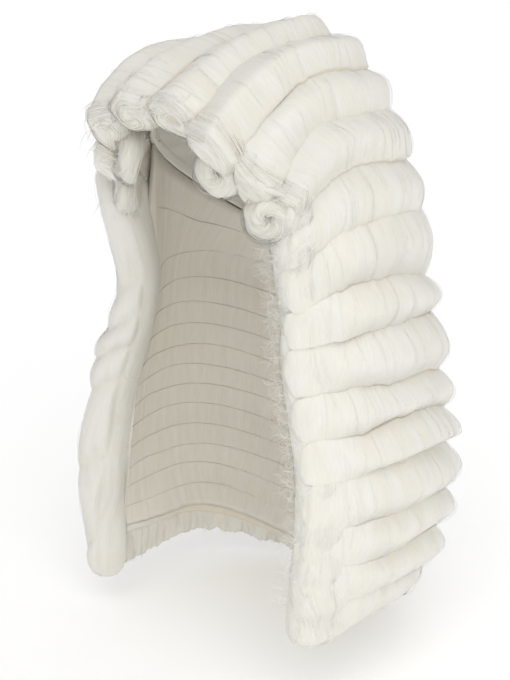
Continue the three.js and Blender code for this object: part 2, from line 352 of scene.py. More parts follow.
# Curly hair at the front: how long, how wide its curls are and how many, how thick, the share of that at the
# tips, the points along each, and the tint
Frizz = namedtuple("Frizz", "length curl turns thick tip points tint")
BAND_FRIZZ = Frizz((6, 18), (1.2, 4.0), (0.5, 1.6), (0.06, 0.12), 0.4, 18, (0.1, 0.8))
WISP_FRIZZ = Frizz((14, 26), (1.5, 5.0), (0.3, 0.9), (0.08, 0.18), 0.3, 14, (0.1, 0.8))
RIM_FRIZZ = Frizz((6, 15), (0.6, 2.4), (0.3, 1.5), (0.16, 0.36), 0.4, 14, (0.1, 0.9))
# Where a curl's thickness starts on its swell, how fast curls widen, how far they narrow, and their facing
FRIZZ_ROOT = 0.12
FRIZZ_GROWS = 1.4
FRIZZ_SHRINKS = 0.35
FRIZZ_FACING = (0.3, -0.8, 0.5)
# The curls on each band: more are seen on the left, against the inside of the wig. Where down the band and
# round its outline they are, and their way aside and ahead from and to, and up by middle and spread
BAND_CURLS = {"left": 640, "right": 20}
BAND_TOP = 1.5
BAND_ENDS = 2
BAND_SHARES = (0.9, 1.6)
BAND_WAY = (62, 96)
BAND_HEADING = ((0.2, 1.0), (-1.0, -0.1), (0, 0.6))
# The wisps on each roll's end: how many, where round it, how near its end, and how far they spread
WISPS = 36
WISP_TURN = (-2.4, 1.2)
WISP_NEAR = (0, 9)
WISP_SINK = -1.0
WISP_SPREAD = 0.35
WISP_FALL = -0.5
# The short hair at the cap's front rim: how many curls, where round the cap, how near the rim, and their
# way aside by middle and spread, and ahead and up from and to
RIM_CURLS = 170
RIM_TURN = (3, 66)
RIM_DOWN = (0.86, 1.0)
RIM_OUT = 0.5
RIM_HEADING = ((0.1, 0.35), (-1, -0.35), (-0.9, 0.2))
# Painted shade on this short hair and on the hair combed back from it, under the crown
FRONT_DIM = 0.1
# The hair combed back over the cap from there: how much, where, how far back, and how it stands out
COMBED = 300
COMBED_TURN = (2, 72)
COMBED_START = (0.0, 0.12)
COMBED_BACK = (0.15, 0.4)
COMBED_LEAN = 0.05
COMBED_OUT = 0.4
COMBED_ARCH = (0.15, 0.6)

# The fringe: how far it hangs at the left and the right end, how far it starts inside the last roll, how
# thick it is and how much thinner at the ends of the hair, its mesh, and the heights and spacings of its
# ragged edge and ripples
FRINGE_DROP = (1.5, 28.0)
FRINGE_DROP_FROM = 0.45
FRINGE_INSIDE = 5.0
FRINGE_TOP = 1.0
FRINGE_HALF = 4.6
FRINGE_THIN = 0.75
FRINGE_COLUMNS = 420
FRINGE_ALONG = (0.004, 0.996)
FRINGE_LEVELS = np.array([0, 0.25, 0.5, 0.72, 0.9, 1.0])
FRINGE_RAGGED = ((1.0, 1.9), (1.6, 8))
FRINGE_RIPPLES = ((0.5, 4.5), (0.25, 1.7))
# Its streaks, tint and painted shade, darkest under the last roll, and its loose strands: how many, the
# share on the outside, where they start and end, and how far they drift
FRINGE_STREAK = 20
FRINGE_TINT = (0.5, 0.3)
FRINGE_DIM = 0.3
FRINGE_STRANDS = 900
FRINGE_OUTSIDE = 0.7
FRINGE_START = (0.1, 0.7)
FRINGE_ENDS = (0.9, 1.2)
FRINGE_DRIFT = 2.0

# The cap: its mesh, the middle radius by which its inside is measured, the rows of weft sewn there with
# their height, width and wander, the binding at its rim, and the hair combed over its outside, which painted
# shade darkens under the rolls
CAP_TURNS = 150
CAP_OUTER = np.linspace(0.03, 1, 30)
CAP_INNER = np.linspace(1, 0.03, 100)
CAP_MIDDLE_RADIUS = 92
WEFT_STEP = 14.0
WEFT_HEIGHT = 0.9
WEFT_WIDTH = 1.5
WEFT_WANDER = 1.2
WEFT_SPACING = (0.5, 40)
BINDING_SHARE = (0.94, 0.955)
BINDING_HEIGHT = 0.8
RIM_SHARE = 0.995
CAP_COMBED = (0.3, 0.5)
CAP_COMBED_SPACING = 0.02
CAP_TINT = 0.5
CAP_DIM = 0.35
CAP_STREAK = 80

# The curtain: its place, its mesh and height, the hair inside it, the painted shade on its outer face behind
# the rolls, and the wefts sewn across that
CURTAIN_FIRST_ROW = 6
CURTAIN_FRONT_TURN = math.radians(58)
CURTAIN_WALL = 2.0
CLEAR_OF_CURTAIN = 1.2
CURTAIN_COLUMNS = 300
CURTAIN_LINES = 56
CURTAIN_OUTER_LINES = 12
CURTAIN_HEIGHT = 280
CURTAIN_DRIFT = 2
CURTAIN_DRIFT_SPACING = (60, 40)
CURTAIN_GROOVES = ((0.2, 2.4), (0.3, 6.0))
CURTAIN_TINT = 0.6
CURTAIN_DIM = 0.15
SEWN_FIRST_LINE = 3
SEWN_LINE_STEP = 4
SEWN_POINTS = 100
SEWN_PROUD = 0.1
SEWN_RADIUS = 0.5
SEWN_WANDER = 0.9
SEWN_WANDER_SPACING = (1.0, 9)
SEWN_TINT = (0.4, 0.9)
SEWN_DIM = 0.2

# The hair's fine and broad streaks, by scale across and along the strands, and how the fine ones break up
# the
# painted shade: by what factor, and with how much added
HAIR_STREAKS = ((0.6, 0.07, 1), (0.16, 0.03, 1))
CREASE_STREAKS = (0.8, 0.6)
# The turns of the net's threads in degrees, and the least share of the threads' colour
NET_TURNS = (45, -45)
NET_LEAST = 0.25

# The camera stands where the photograph was taken from, and looks at the middle of the wig
VIEW_AZIMUTH = 44.1
VIEW_ELEVATION = 16.7
VIEW_DISTANCE = 1000.0
VIEW_TARGET = Vector((-5.6, 0.6, -211.4))
VIEW_LENS = 70.59
VIEW_CLIP = 0.01
# The lights: azimuth, elevation and width in degrees, and strength
Sun = namedtuple("Sun", "name azimuth elevation strength width")
SUNS = (Sun("key", 64, 14, 0.46, 40), Sun("fill", 46, 56, 0.93, 60))
WORLD_STRENGTH = 0.6
WHITE = (1, 1, 1, 1)
# The floor, in metres
FLOOR_HALF = 20.0
FLOOR_GAP = 0.002
FLOOR_GREY = (0.97, 0.97, 0.97, 1)


def generator(*keys):
    return np.random.default_rng([SEED, *keys])


def unit(vectors):
    return vectors / np.maximum(np.linalg.norm(vectors, axis=-1, keepdims=True), 1e-9)


def ease(value, low, high):
    """A smooth step from 0 at low to 1 at high."""
    share = np.clip((value - low) / (high - low), 0, 1)
    return share * share * (3 - 2 * share)


def blend(first, second, share):
    return first * (1 - share) + second * share


def pairs(first, second):
    """Every pair of the values of first and second, as two grids."""
    return np.meshgrid(first, second, indexing="ij")


def way_along(points):
    """The way along a line of points, from its start to each of them."""
    return np.concatenate([[0], np.cumsum(np.linalg.norm(np.diff(points, axis=0), axis=1))])


def noise_line(rng, spacing, count=LINE_KNOTS):
    """A smooth random line from -1 to 1 with a new value every spacing."""
    knots = rng.uniform(-1, 1, count)

    def read(place):
        at = np.divide(place, spacing)
        low = np.floor(at).astype(int)
        return blend(knots[low % count], knots[(low + 1) % count], ease(at - low, 0, 1))

    return read


def noise_field(rng, spacing_a, spacing_b, count=FIELD_KNOTS):
    """A smooth random field from -1 to 1 with its own spacing in each direction."""
    knots = rng.uniform(-1, 1, (count, count))

    def read(place_a, place_b):
        at_a, at_b = np.broadcast_arrays(np.divide(place_a, spacing_a), np.divide(place_b, spacing_b))
        low_a, low_b = np.floor(at_a).astype(int), np.floor(at_b).astype(int)
        share_a, share_b = ease(at_a - low_a, 0, 1), ease(at_b - low_b, 0, 1)
        near, far = (
            blend(knots[low_a % count, row % count], knots[(low_a + 1) % count, row % count], share_a)
            for row in (low_b, low_b + 1))
        return blend(near, far, share_b)

    return read


def waves(rng, sizes, place):
    """The sum of random lines, each with a height and a spacing."""
    return sum(height * noise_line(rng, spacing)(place) for height, spacing in sizes)


def smooth_path(points, count):
    """A Catmull-Rom line through points, at count even steps of its parameter."""
    points = np.asarray(points, float)
    padded = np.concatenate([2 * points[:1] - points[1:2], points, 2 * points[-1:] - points[-2:-1]])
    at = np.linspace(0, len(points) - 1, count)
    low = np.minimum(at.astype(int), len(points) - 2)
    t = (at - low)[:, None]
    a, b, c, d = (padded[low + k] for k in range(4))
    bend = 2 * b + (c - a) * t + (2 * a - 5 * b + 4 * c - d) * t ** 2
    return 0.5 * (bend + (3 * b - a - 3 * c + d) * t ** 3)


def smooth_surface(lines, count):
    """A surface through lines of points, as count lines."""
    lines = np.array(lines)
    return smooth_path(lines.reshape(len(lines), -1), count).reshape(count, -1, 3)


def facing(surface, first, second, steps, inside):
    """The directions out of a surface that is a function of two values, away from the points inside it."""
    across = surface(first + steps[0], second) - surface(first - steps[0], second)
    along = surface(first, second + steps[1]) - surface(first, second - steps[1])
    normal = unit(np.cross(across, along))
    return normal * np.sign(np.sum(normal * (surface(first, second) - inside), -1, keepdims=True))


def row_point(row, along):
    """Points of a row, from its end at the front left (0) round the back (0.5) to the right (1)."""
    to_back = 1 - np.abs(2 * along - 1)
    hand = np.where(along <= 0.5, 1.0, -1.0)
    ahead = np.clip(1 - to_back / LEG_SHARE, 0, 1)
    turn = np.clip((to_back - LEG_SHARE) / (1 - LEG_SHARE), 0, 1) * FULL_TURN / 4
    x = row.side_x * np.cos(turn) - (row.side_x - row.front_x) * ahead ** 2
    y = row.side_y + (row.back_y - row.side_y) * np.sin(turn) - (row.side_y - row.front_y) * ahead
    z = row.side_z + (row.back_z - row.side_z) * np.sin(turn) ** 2 - (row.side_z - row.front_z) * ahead ** 2
    return np.stack([hand * x, y, z], -1)


def row_frame(row, along):
    """Points of a row, the direction in which it runs there, and the direction outwards."""
    point = row_point(row, along)
    before, after = np.maximum(along - RUN_STEP, 0), np.minimum(along + RUN_STEP, 1)
    run = unit(row_point(row, after) - row_point(row, before))
    line = np.stack([0 * along, 0 * along + MIDLINE_Y, np.minimum(point[:, 2], MIDLINE_TOP_Z)], -1)
    outward = point - line
    outward = unit(outward - run * np.sum(outward * run, -1, keepdims=True))
    return point, run, outward


def crease_wander(number):
    """How far the crease under a row wanders from half way to the next one, along the row."""
    rng = generator(CREASE_KEY, number)
    broad, fine = (noise_line(rng, spacing) for spacing in CREASE_WAVES)
    shift = CREASE_SHIFT.get(number, 0)
    return lambda along: shift + CREASE_WANDER * (broad(along) + CREASE_FINE * fine(along))


CREASES = [crease_wander(number) for number in range(len(ROWS))]


def half_way(number, step, along):
    """The way from a row to the crease above it (-1) or below it (1), and a little into the neighbour."""
    point = row_point(ROWS[number], along)
    first = min(number, number + step)
    if first < 0:
        way = point * (-1, 0, 0)
    elif number + step == len(ROWS):
        way = np.tile(-UP * HEM_RISE, (len(along), 1))
    else:
        way = (row_point(ROWS[number + step], along) - point) / 2
        way = way * (1 + step * CREASES[first](along))[:, None]
    return way + unit(way) * (UPPER_OVERLAP if 0 <= first < HANGING_FROM else ROLL_OVERLAP)


def clear_of_cap(points):
    """Moves points that would be in the cap straight out from its middle."""
    out = points - CAP_CENTRE
    share = np.linalg.norm(out / (CAP_RADII + CAP_WALL + CLEAR_OF_CAP), axis=-1, keepdims=True)
    return CAP_CENTRE + out / np.minimum(np.maximum(share, 1e-6), 1)


def rim_tilt(turn, grow):
    """The angle from the top of the cap to its rim."""
    rim_z = CAP_RIM_MIDDLE_Z + CAP_RIM_SWING * np.cos(turn)
    return np.arccos((rim_z - CAP_CENTRE[2]) / (CAP_RADII[2] + grow))


def cap_point(turn, down, grow):
    """Points of the cap: turn is from the front, and down is from its top (0) to the rim (1)."""
    turn, down, grow = np.broadcast_arrays(turn, down, grow)
    tilt = down * rim_tilt(turn, grow)
    way = np.stack([np.sin(tilt) * np.sin(turn), -np.sin(tilt) * np.cos(turn), np.cos(tilt)], -1)
    return CAP_CENTRE + (CAP_RADII + grow[..., None]) * way


def crease_depth(angle, width):
    """How deep in the crease between two rolls a place on a roll is, from its angle."""
    return 1 - ease(np.maximum(np.cos(angle), 0), CREASE_INMOST, width)


class Roll:
    """The hair of one roll, from one place along its row to another."""

    def __init__(self, number, start=0.0, end=1.0):
        self.number = number
        self.hand = 0 if number else (1 if start == 0 else -1)
        self.hanging = number >= HANGING_FROM
        self.curled = number < FLAT_ENDS_FROM
        self.ends = ("eye" if self.hand > 0 else "swirl", "swirl") if self.curled else ("flat", "flat")
        self.reach = [END_REACH.get((number, hand), 1.0) for hand in HANDS.values()]
        self.depth = ROWS[number].depth
        self.inner = HANGING_INNER_DEPTH if self.hanging else INNER_DEPTH
        along = np.linspace(start, end, ROW_STEPS)
        self.point, self.run, self.outward = row_frame(ROWS[number], along)
        self.up, self.down = half_way(number, -1, along), half_way(number, 1, along)
        self.distance = way_along(self.point)
        self.length = self.distance[-1]
        self.rng = generator(number, int(START_STEPS * start))
        self.lean = noise_line(self.rng, LEAN_SPACING)
        self.backing = noise_line(self.rng, BACKING_SPACING)
        self.lumps = noise_field(self.rng, *LUMP_SPACING)
        self.grooves = [noise_line(self.rng, spacing) for spacing in ROLL_GROOVES.spacing]
        self.clumps = self.grooves[0]
        self.patches = noise_field(self.rng, *PATCH_SPACING)
        self.whorl = noise_line(self.rng, FULL_TURN * WHORL_PITCH / WHORL_ARMS, WHORL_ARMS)

    def read(self, distance):
        """The point, the directions along and outwards, and the ways up and down, at a distance along it."""
        place = np.interp(distance, self.distance, np.arange(len(self.distance)))
        low = np.minimum(place.astype(int), len(self.distance) - 2)
        share = (place - low)[..., None]
        lines = (self.point, self.run, self.outward, self.up, self.down)
        return [blend(line[low], line[low + 1], share) for line in lines]

    def flow(self, distance, angle):
        """The place across the strands: the same number is the same strand."""
        wander = PATCH_WANDER * self.patches(distance, angle)
        return distance + LEAN * self.lean(distance) * np.sin(angle) + wander

    def relief(self, distance, angle):
        """How high lumps and strands stand on the roll."""
        patch = PATCH_SHARE + PATCH_SHARE * self.patches(distance + PATCH_SHIFT, 2 * angle)
        fine = groove_height(self.grooves, ROLL_GROOVES, self.flow(distance, angle))
        return LUMP_HEIGHT * self.lumps(distance, angle) + patch * fine

    def edge(self, distance):
        """The way to the nearest end that is at the front."""
        if self.hand:
            return distance if self.hand > 0 else self.length - distance
        return np.minimum(distance, self.length - distance)

    def opened(self, distance):
        """How far the creases are open: on a hanging roll, from 0 in the band at the front to 1."""
        if not self.hanging:
            return UPPER_OPENED
        rows, low, high = CREASE_OPENS
        way = self.edge(distance) - OPENS_WANDER * self.lean(distance)
        return ease(way, np.interp(self.number, rows, low), np.interp(self.number, rows, high))

    def shade(self, distance, angle):
        """Painted shade: most in the creases, some on the slope below a hanging crest or above an upper one.
        """
        stretch, lumpy = SLOPE_LUMPS
        lumps = lumpy * self.lumps(distance * stretch, angle)
        above = np.sin(angle) + lumps + SLOPE_CLUMPS * self.clumps(distance)
        # warm is how far painted shade darkens the slope, towards the grey shade colour
        warm, low, high = HANGING_SLOPE if self.hanging else UPPER_SLOPE
        slope = warm * ease(-above if self.hanging else above, low, high)
        if self.hanging:
            slope = slope * self.opened(distance)
        return np.maximum(slope, crease_depth(angle, CREASE_WIDTH) * self.opened(distance))

    def swell(self, distance, angle):
        """How far the hair stands out at an angle: most at the crest, which sags on the upper rolls."""
        bulge, sin = np.maximum(np.cos(angle), 0) ** CREST_POWER, np.sin(angle)
        floor = (CREASE_FLOOR if self.hanging else UPPER_FLOOR) + FLOOR_CHANGE * self.backing(distance)
        edge = self.edge(distance)
        if self.hanging:
            floor = 1 + (floor - 1) * self.opened(distance)
            if self.number == HANGING_FROM:
                floor = np.where(sin > 0, UPPER_FLOOR, floor)
            full = 1 - np.interp(self.number, *HANGING_TAPER) * (1 - ease(edge, 0, HANGING_TAPER_WAY))
        else:
            floor = floor + (FRONT_FLOOR - floor) * (1 - ease(edge, 0, FRONT_FLOOR_WAY))
            full = np.interp(distance / self.length, *FULLNESS.get((self.number, self.hand), EVEN))
            full = full * (1 - UPPER_SAG * sin)
        return self.depth * (floor + (1 - floor) * bulge) * full

    def surface(self, distance, angle, ahead=0.0, share=1.0, lift=0.0, arc=0.0):
        """Points of the hair. Angle 0 faces out, a quarter turn up. ahead, share and arc shape the ends."""
        values = np.broadcast_arrays(distance, angle, ahead, share, lift, arc)
        distance, angle, ahead, share, lift, arc = values
        point, run, outward, up, down = self.read(distance)
        cos, sin = np.cos(angle), np.sin(angle)
        swell = self.swell(distance, angle)
        swell = swell + (self.depth * cos - swell) * ease(share, *END_ROUND)
        across = np.where(cos > 0, swell, cos * self.inner)
        rise = np.where(sin[..., None] > 0, up, down)
        normal = unit(outward * cos[..., None] + unit(rise) * np.abs(sin)[..., None])
        swirl = ease(np.abs(arc), *WHORL_WAY)
        turned = np.abs(arc) + WHORL_PITCH * angle
        broad, fine = WHORL_HEIGHTS
        whorl = (broad * self.whorl(turned) + fine * self.whorl(WHORL_FINER * turned)) * np.sqrt(share)
        relief = self.relief(distance + arc, angle) * ease(cos, *OUTER_FACE) * (1 - swirl) + whorl * swirl
        place = point + run * ahead[..., None]
        place = place + (outward * across[..., None] + rise * np.abs(sin)[..., None]) * share[..., None]
        place = clear_of_cap(place) + normal * (relief + lift)[..., None]
        if self.hand:
            place[..., 0] = self.hand * np.maximum(self.hand * place[..., 0], PARTING_GAP)
        return place


def groove_height(lines, sizes, across):
    """How high the hair stands at a place across its strands."""
    return sum(height * line(across) for height, line in zip(sizes.height, lines))


def corner_map(*corners):
    """The bake map of faces, from the (u, v) arrays of each corner."""
    return np.stack([np.stack(np.broadcast_arrays(*corner), -1) for corner in corners], 1)


def tube_faces(rings, sides, looped=False):
    """The faces of a tube and their bake map: quads between rings, and triangles to a point at each end."""
    steps = np.arange(rings if looped else rings - 1)
    ring, side = (axis.ravel() for axis in pairs(steps, np.arange(sides)))
    here, there, other = ring * sides, (ring + 1) % rings * sides, (side + 1) % sides
    faces = [np.stack([here + side, here + other, there + other, there + side], 1)]
    step = 1 / (rings + 1)
    low, high, left, right = (ring + 1) * step, (ring + 2) * step, side / sides, (side + 1) / sides
    bake = [corner_map((low, left), (low, right), (high, right), (high, left))]
    if not looped:
        side = np.arange(sides)
        other, tip, last = (side + 1) % sides, 0 * side + rings * sides, (rings - 1) * sides
        left, middle, right = ((side + share) / sides for share in (0, 0.5, 1))
        faces += [np.stack([tip, other, side], 1), np.stack([tip + 1, last + side, last + other], 1)]
        bake += [corner_map((0.0, middle), (step, right), (step, left)),
                 corner_map((1.0, middle), (1 - step, left), (1 - step, right))]
    return faces, bake


class Mesh:
    """A mesh gathered from grids and tubes, in millimetres, with the values that its materials read."""

    def __init__(self):
        self.points, self.normals, self.flow, self.tint, self.deep = [], [], [], [], []
        self.corners, self.sizes, self.bake, self.material = [], [], [], []
        self.count = 0

    def add(self, points, values, faces, bake, cell, materials, normals=None):
        """values are the points' flow, tint and deep. faces, bake and materials hold an array for each kind
        of face, and cell is the part of the bake map to use: low u, low v, high u and high v."""
        self.points.append(points)
        self.normals.append(np.zeros((len(points), 3)) if normals is None else normals)
        for store, value in zip((self.flow, self.tint, self.deep), values):
            store.append(value)
        low, high = np.array(cell[:2]), np.array(cell[2:])
        for face, place, material in zip(faces, bake, materials):
            self.corners.append((face + self.count).ravel())
            self.sizes.append(np.full(len(face), face.shape[1]))
            self.bake.append((low + place * (high - low)).reshape(-1, 2))
            self.material.append(material)
        self.count += len(points)

    def grid(self, points, flow, tint, deep, cell=(0, 0, 1, 1), material=0, looped=False):
        """Rings that are closed outlines, joined into a tube: closed by a point at both ends, or looped.
        material is one number, or one for each step from ring to ring."""
        rings, sides = shape = points.shape[:2]
        faces, bake = tube_faces(rings, sides, looped)
        flat = points.reshape(-1, 3)
        values = [flow.reshape(-1, 2)]
        values += [np.broadcast_to(np.asarray(value, float), shape).ravel() for value in (tint, deep)]
        materials = [np.repeat(material, sides) if np.ndim(material) else np.full(len(faces[0]), material)]
        if not looped:
            flat = np.concatenate([flat, [points[0].mean(0), points[-1].mean(0)]])
            values = [np.concatenate([value, value[:1], value[-1:]]) for value in values]
            materials += [np.full(sides, materials[0][end]) for end in (0, -1)]
        a, b, c, d = (flat[faces[0][:, k]] for k in range(4))
        if np.sum(a * np.cross(b, c)) + np.sum(a * np.cross(c, d)) < 0:
            faces, bake = [face[:, ::-1] for face in faces], [place[:, ::-1] for place in bake]
        self.add(flat, values, faces, bake, cell, materials)

    def tubes(self, rng, paths, radius, cell, deep=0.0, tint=STRAND_TINT, sides=3, material=0, under=None):
        """Strands or locks that follow paths (strands, points, 3) and close to a point at both ends. under
        is the direction out of the hair that they lie on: a side of each strand faces it."""
        strands, points = paths.shape[:2]
        faces, bake = tube_faces(points - 2, sides)
        order = np.concatenate([np.repeat(np.arange(1, points - 1), sides), [0, points - 1]])
        side = np.concatenate([np.tile(np.arange(sides), points - 2), [0, 0]])
        tint = np.broadcast_to(rng.uniform(*tint, (strands, 1)), (strands, len(order)))
        deep = np.broadcast_to(deep, (strands, points))[:, order]
        tangent = unit(np.gradient(paths, axis=1))
        aside = unit(rng.normal(size=(strands, 1, 3))) if under is None else np.cross(tangent, under)
        first = unit(np.cross(tangent, aside))
        second = np.cross(tangent, first)
        angle = (FULL_TURN * np.arange(sides) / sides)[:, None]
        ring = first[:, 1:-1, None] * np.cos(angle) + second[:, 1:-1, None] * np.sin(angle)
        radius = np.broadcast_to(radius, (strands, points))[:, 1:-1, None, None]
        body = (paths[:, 1:-1, None] + ring * radius).reshape(strands, -1, 3)
        flat = np.concatenate([body, paths[:, :1], paths[:, -1:]], 1)
        length = np.sum(np.linalg.norm(np.diff(paths, axis=1), axis=2), axis=1)
        across = rng.uniform(0, STREAK_SPREAD, (strands, 1)) + side * STREAK_SIDE
        flow = np.stack([across, order / (points - 1) * length[:, None]], -1)
        columns = math.ceil(math.sqrt(strands * CELL_SHAPE))
        lines = math.ceil(strands / columns)
        number = np.arange(strands)
        corner = np.stack([number % columns / columns, number // columns / lines], 1)[:, None, None]
        size = CELL_FILL / np.array([columns, lines])
        base = (len(order) * number)[:, None, None]
        faces = [(face + base).reshape(-1, face.shape[1]) for face in faces]
        bake = [corner + place[..., ::-1] * size for place in bake]
        normals = None
        if under is not None:
            away = np.concatenate([ring.reshape(strands, -1, 3), 0 * paths[:, :2]], 1)
            normals = unit(under[:, order] + STRAND_ROUND * away).reshape(-1, 3)
        values = (flow.reshape(-1, 2), tint.ravel(), deep.ravel())
        materials = [np.full(len(face), material) for face in faces]
        self.add(flat.reshape(-1, 3), values, faces, bake, cell, materials, normals)

    def make(self, name, materials):
        """The Blender object, in metres."""
        mesh = bpy.data.meshes.new(name)
        stores = (self.points, self.corners, self.sizes, self.flow)
        points, corners, sizes, flow = map(np.concatenate, stores)
        mesh.vertices.add(len(points))
        mesh.vertices.foreach_set("co", (points * MM).astype(np.float32).ravel())
        mesh.loops.add(len(corners))
        mesh.loops.foreach_set("vertex_index", corners.astype(np.int32))
        mesh.polygons.add(len(sizes))
        mesh.polygons.foreach_set("loop_start", (np.cumsum(sizes) - sizes).astype(np.int32))
        mesh.polygons.foreach_set("material_index", np.concatenate(self.material).astype(np.int32))
        mesh.update(calc_edges=True)
        bake = mesh.uv_layers.new(name="OFBake")
        bake.uv.foreach_set("vector", np.concatenate(self.bake).astype(np.float32).ravel())
        flow = np.pad(flow, ((0, 0), (0, 1))).astype(np.float32)
        mesh.attributes.new("flow", "FLOAT_VECTOR", "POINT").data.foreach_set("vector", flow.ravel())
        for label, values in (("tint", self.tint), ("deep", self.deep)):
            values = np.concatenate(values).astype(np.float32)
            mesh.attributes.new(label, "FLOAT", "POINT").data.foreach_set("value", values)
        mesh.shade_smooth()
        mesh.normals_split_custom_set_from_vertices(np.concatenate(self.normals).tolist())
        for material in materials:
            mesh.materials.append(material)
        piece = bpy.data.objects.new(name, mesh)
        bpy.context.scene.collection.objects.link(piece)
        return piece


def finish_piece(piece, nodes):
    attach(piece, "root")
    if nodes:
        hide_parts(*nodes)
    return piece


def hair_piece(mesh, name):
    """The piece of hair that stands for the node of that name."""
    return finish_piece(mesh.make("hair_" + name, [HAIR, LIT_FINE_HAIR]), [name])


class Looks:
    """A material and its nodes. What a node is given is a value or another node's output."""

    def __init__(self, name):
        self.material = bpy.data.materials.new(name)
        self.material.use_nodes = True
        self.nodes = self.material.node_tree.nodes
        self.shader = self.nodes["Principled BSDF"]

    def give(self, node, inputs):
        for key, value in inputs.items():
            if isinstance(value, bpy.types.NodeSocket):
                self.material.node_tree.links.new(value, node.inputs[key])
            else:
                node.inputs[key].default_value = value

    def add(self, kind, output, inputs, **options):
        """The output of a new node."""
        node = self.nodes.new("ShaderNode" + kind)
        for key, value in options.items():
            setattr(node, key, value)
        self.give(node, inputs)
        return node.outputs[output]

    def read(self, name, output="Fac"):
        return self.add("Attribute", output, {}, attribute_name=name)

    def noise(self, scale, detail, roughness=0.5, **place):
        inputs = {"Scale": scale, "Detail": detail, "Roughness": roughness, **place}
        return self.add("TexNoise", "Fac", inputs)

    def stretch(self, vector, scale, turn=0):
        rotation = (0, 0, math.radians(turn))
        return self.add("Mapping", 0, {"Vector": vector, "Scale": scale, "Rotation": rotation})

    def combine(self, operation, *values, clamp=False):
        return self.add("Math", 0, dict(enumerate(values)), operation=operation, use_clamp=clamp)

    def remap(self, value, low, high, most=1.0):
        """From 0 at low to most at high."""
        return self.add("MapRange", 0, {"Value": value, "From Min": low, "From Max": high, "To Max": most})

    def mix(self, share, first, second):
        """A colour between two: the colours' sockets have the numbers 6 and 7, and the mixed one's is 2."""
        return self.add("Mix", 2, {0: share, 6: first, 7: second}, data_type="RGBA")

    def bump(self, height, strength, distance=0.0004):
        return self.add("Bump", "Normal", {"Height": height, "Strength": strength, "Distance": distance})


def hair_material(name, light, warm, shade, crease):
    """Fibre hair: fine streaks along the strands, and painted shade that is warmest and darkest in the
    creases.
    """
    looks = Looks(name)
    flow, tint, deep = looks.read("flow", "Vector"), looks.read("tint"), looks.read("deep")
    narrow, wide = (looks.stretch(flow, scale=scale) for scale in HAIR_STREAKS)
    fine = looks.noise(scale=1.0, detail=3.0, roughness=0.6, Vector=narrow)
    broad = looks.noise(scale=1.0, detail=2.0, Vector=wide)
    base = looks.mix(looks.remap(looks.combine("ADD", broad, tint), low=0.6, high=1.4), light, warm)
    streaked = looks.mix(looks.remap(fine, low=0.38, high=0.72, most=0.55), base, shade)
    # deep is painted shade: the hair darkens towards the shade colour, and where deep is high towards the
    # crease colour
    factor, added = CREASE_STREAKS
    spread = looks.combine("ADD", looks.combine("MULTIPLY", fine, factor), added)
    hollow = looks.combine("MULTIPLY", deep, spread, clamp=True)
    dimmed = looks.mix(looks.remap(hollow, low=0.0, high=0.6), streaked, shade)
    colour = looks.mix(looks.remap(hollow, low=0.5, high=1.0), dimmed, crease)
    looks.give(looks.shader, {
        "Base Color": colour, "Normal": looks.bump(fine, strength=0.4), "Roughness": 0.4,
        "Specular IOR Level": 0.5, "Sheen Weight": 0.2, "Sheen Roughness": 0.4})
    return looks.material


def net_material(name, thread, hole):
    """Cotton net: fine crossed threads with darker holes."""
    looks = Looks(name)
    flow = looks.read("flow", "Vector")
    threads = [looks.add("TexWave", "Fac", {
        "Vector": looks.stretch(flow, (1, 1, 1), turn), "Scale": 0.22, "Distortion": 1.2, "Detail": 1.0,
        "Detail Scale": 2.0}) for turn in NET_TURNS]
    woven = looks.combine("MAXIMUM", *threads)
    mottle = looks.noise(scale=0.05, detail=3.0, Vector=flow)
    amount = looks.combine("MULTIPLY_ADD", woven, mottle, NET_LEAST, clamp=True)
    looks.give(looks.shader, {
        "Base Color": looks.mix(amount, hole, thread), "Normal": looks.bump(woven, strength=0.5),
        "Roughness": 0.8, "Specular IOR Level": 0.2, "Sheen Weight": 0.15})
    return looks.material


def floor_material(name):
    looks = Looks(name)
    looks.give(looks.shader, {
        "Base Color": looks.mix(looks.noise(scale=3.0, detail=2.0), FLOOR_GREY, WHITE), "Roughness": 0.9,
        "Specular IOR Level": 0.1, "Emission Color": WHITE, "Emission Strength": 0.16})
    return looks.material


# Painted shade: shade and crease are its colours, and warm also carries it in the valleys
HAIR = hair_material("fibre_hair", light=(0.825, 0.805, 0.742, 1), warm=(0.80, 0.752, 0.645, 1),
                     shade=(0.72, 0.705, 0.65, 1), crease=(0.78, 0.70, 0.57, 1))
# Painted light: a lighter copy of the hair's colours, for loose strands and fine curls
LIT_FINE_HAIR = hair_material("lit_fine_hair", light=(0.93, 0.915, 0.86, 1), warm=(0.90, 0.88, 0.81, 1),
                     shade=(0.86, 0.83, 0.76, 1), crease=(0.76, 0.70, 0.59, 1))
NET = net_material("cap_net", thread=(0.88, 0.865, 0.82, 1), hole=(0.70, 0.67, 0.60, 1))


def draws(rng, count, low, high):
    """A random number from low to high for each strand, as a column."""
    return rng.uniform(low, high, (count, 1))


def drifts(rng, count, size):
    """A random number about 0 for each strand, as a column."""
    return rng.normal(0, size, (count, 1))


def widths(rng, count, kind, t):
    """The width of each strand at the places t along it."""
    return draws(rng, count, *kind.thick) * (kind.tip + (1 - kind.tip) * np.sin(np.pi * t))


def arches(rng, count, kind, t, base=STRAND_SINK):
    """How far each strand stands off the hair at the places t along it, from base at both ends."""
    return base + draws(rng, count, *kind.lift) * np.sin(np.pi * t)


def clump_tint(tint, hair, across):
    middle, change, shift = tint
    return middle + change * hair.grooves[0](across + shift)


def end_profile(kind, count, reach):
    """The rounded end of a roll: how far ahead, the share of the section, and the way along it."""
    line = smooth_path([(ahead * reach, share * END_RADIUS) for ahead, share in END_SHAPES[kind]], count)
    return line[:, 0], line[:, 1] / END_RADIUS, way_along(line)


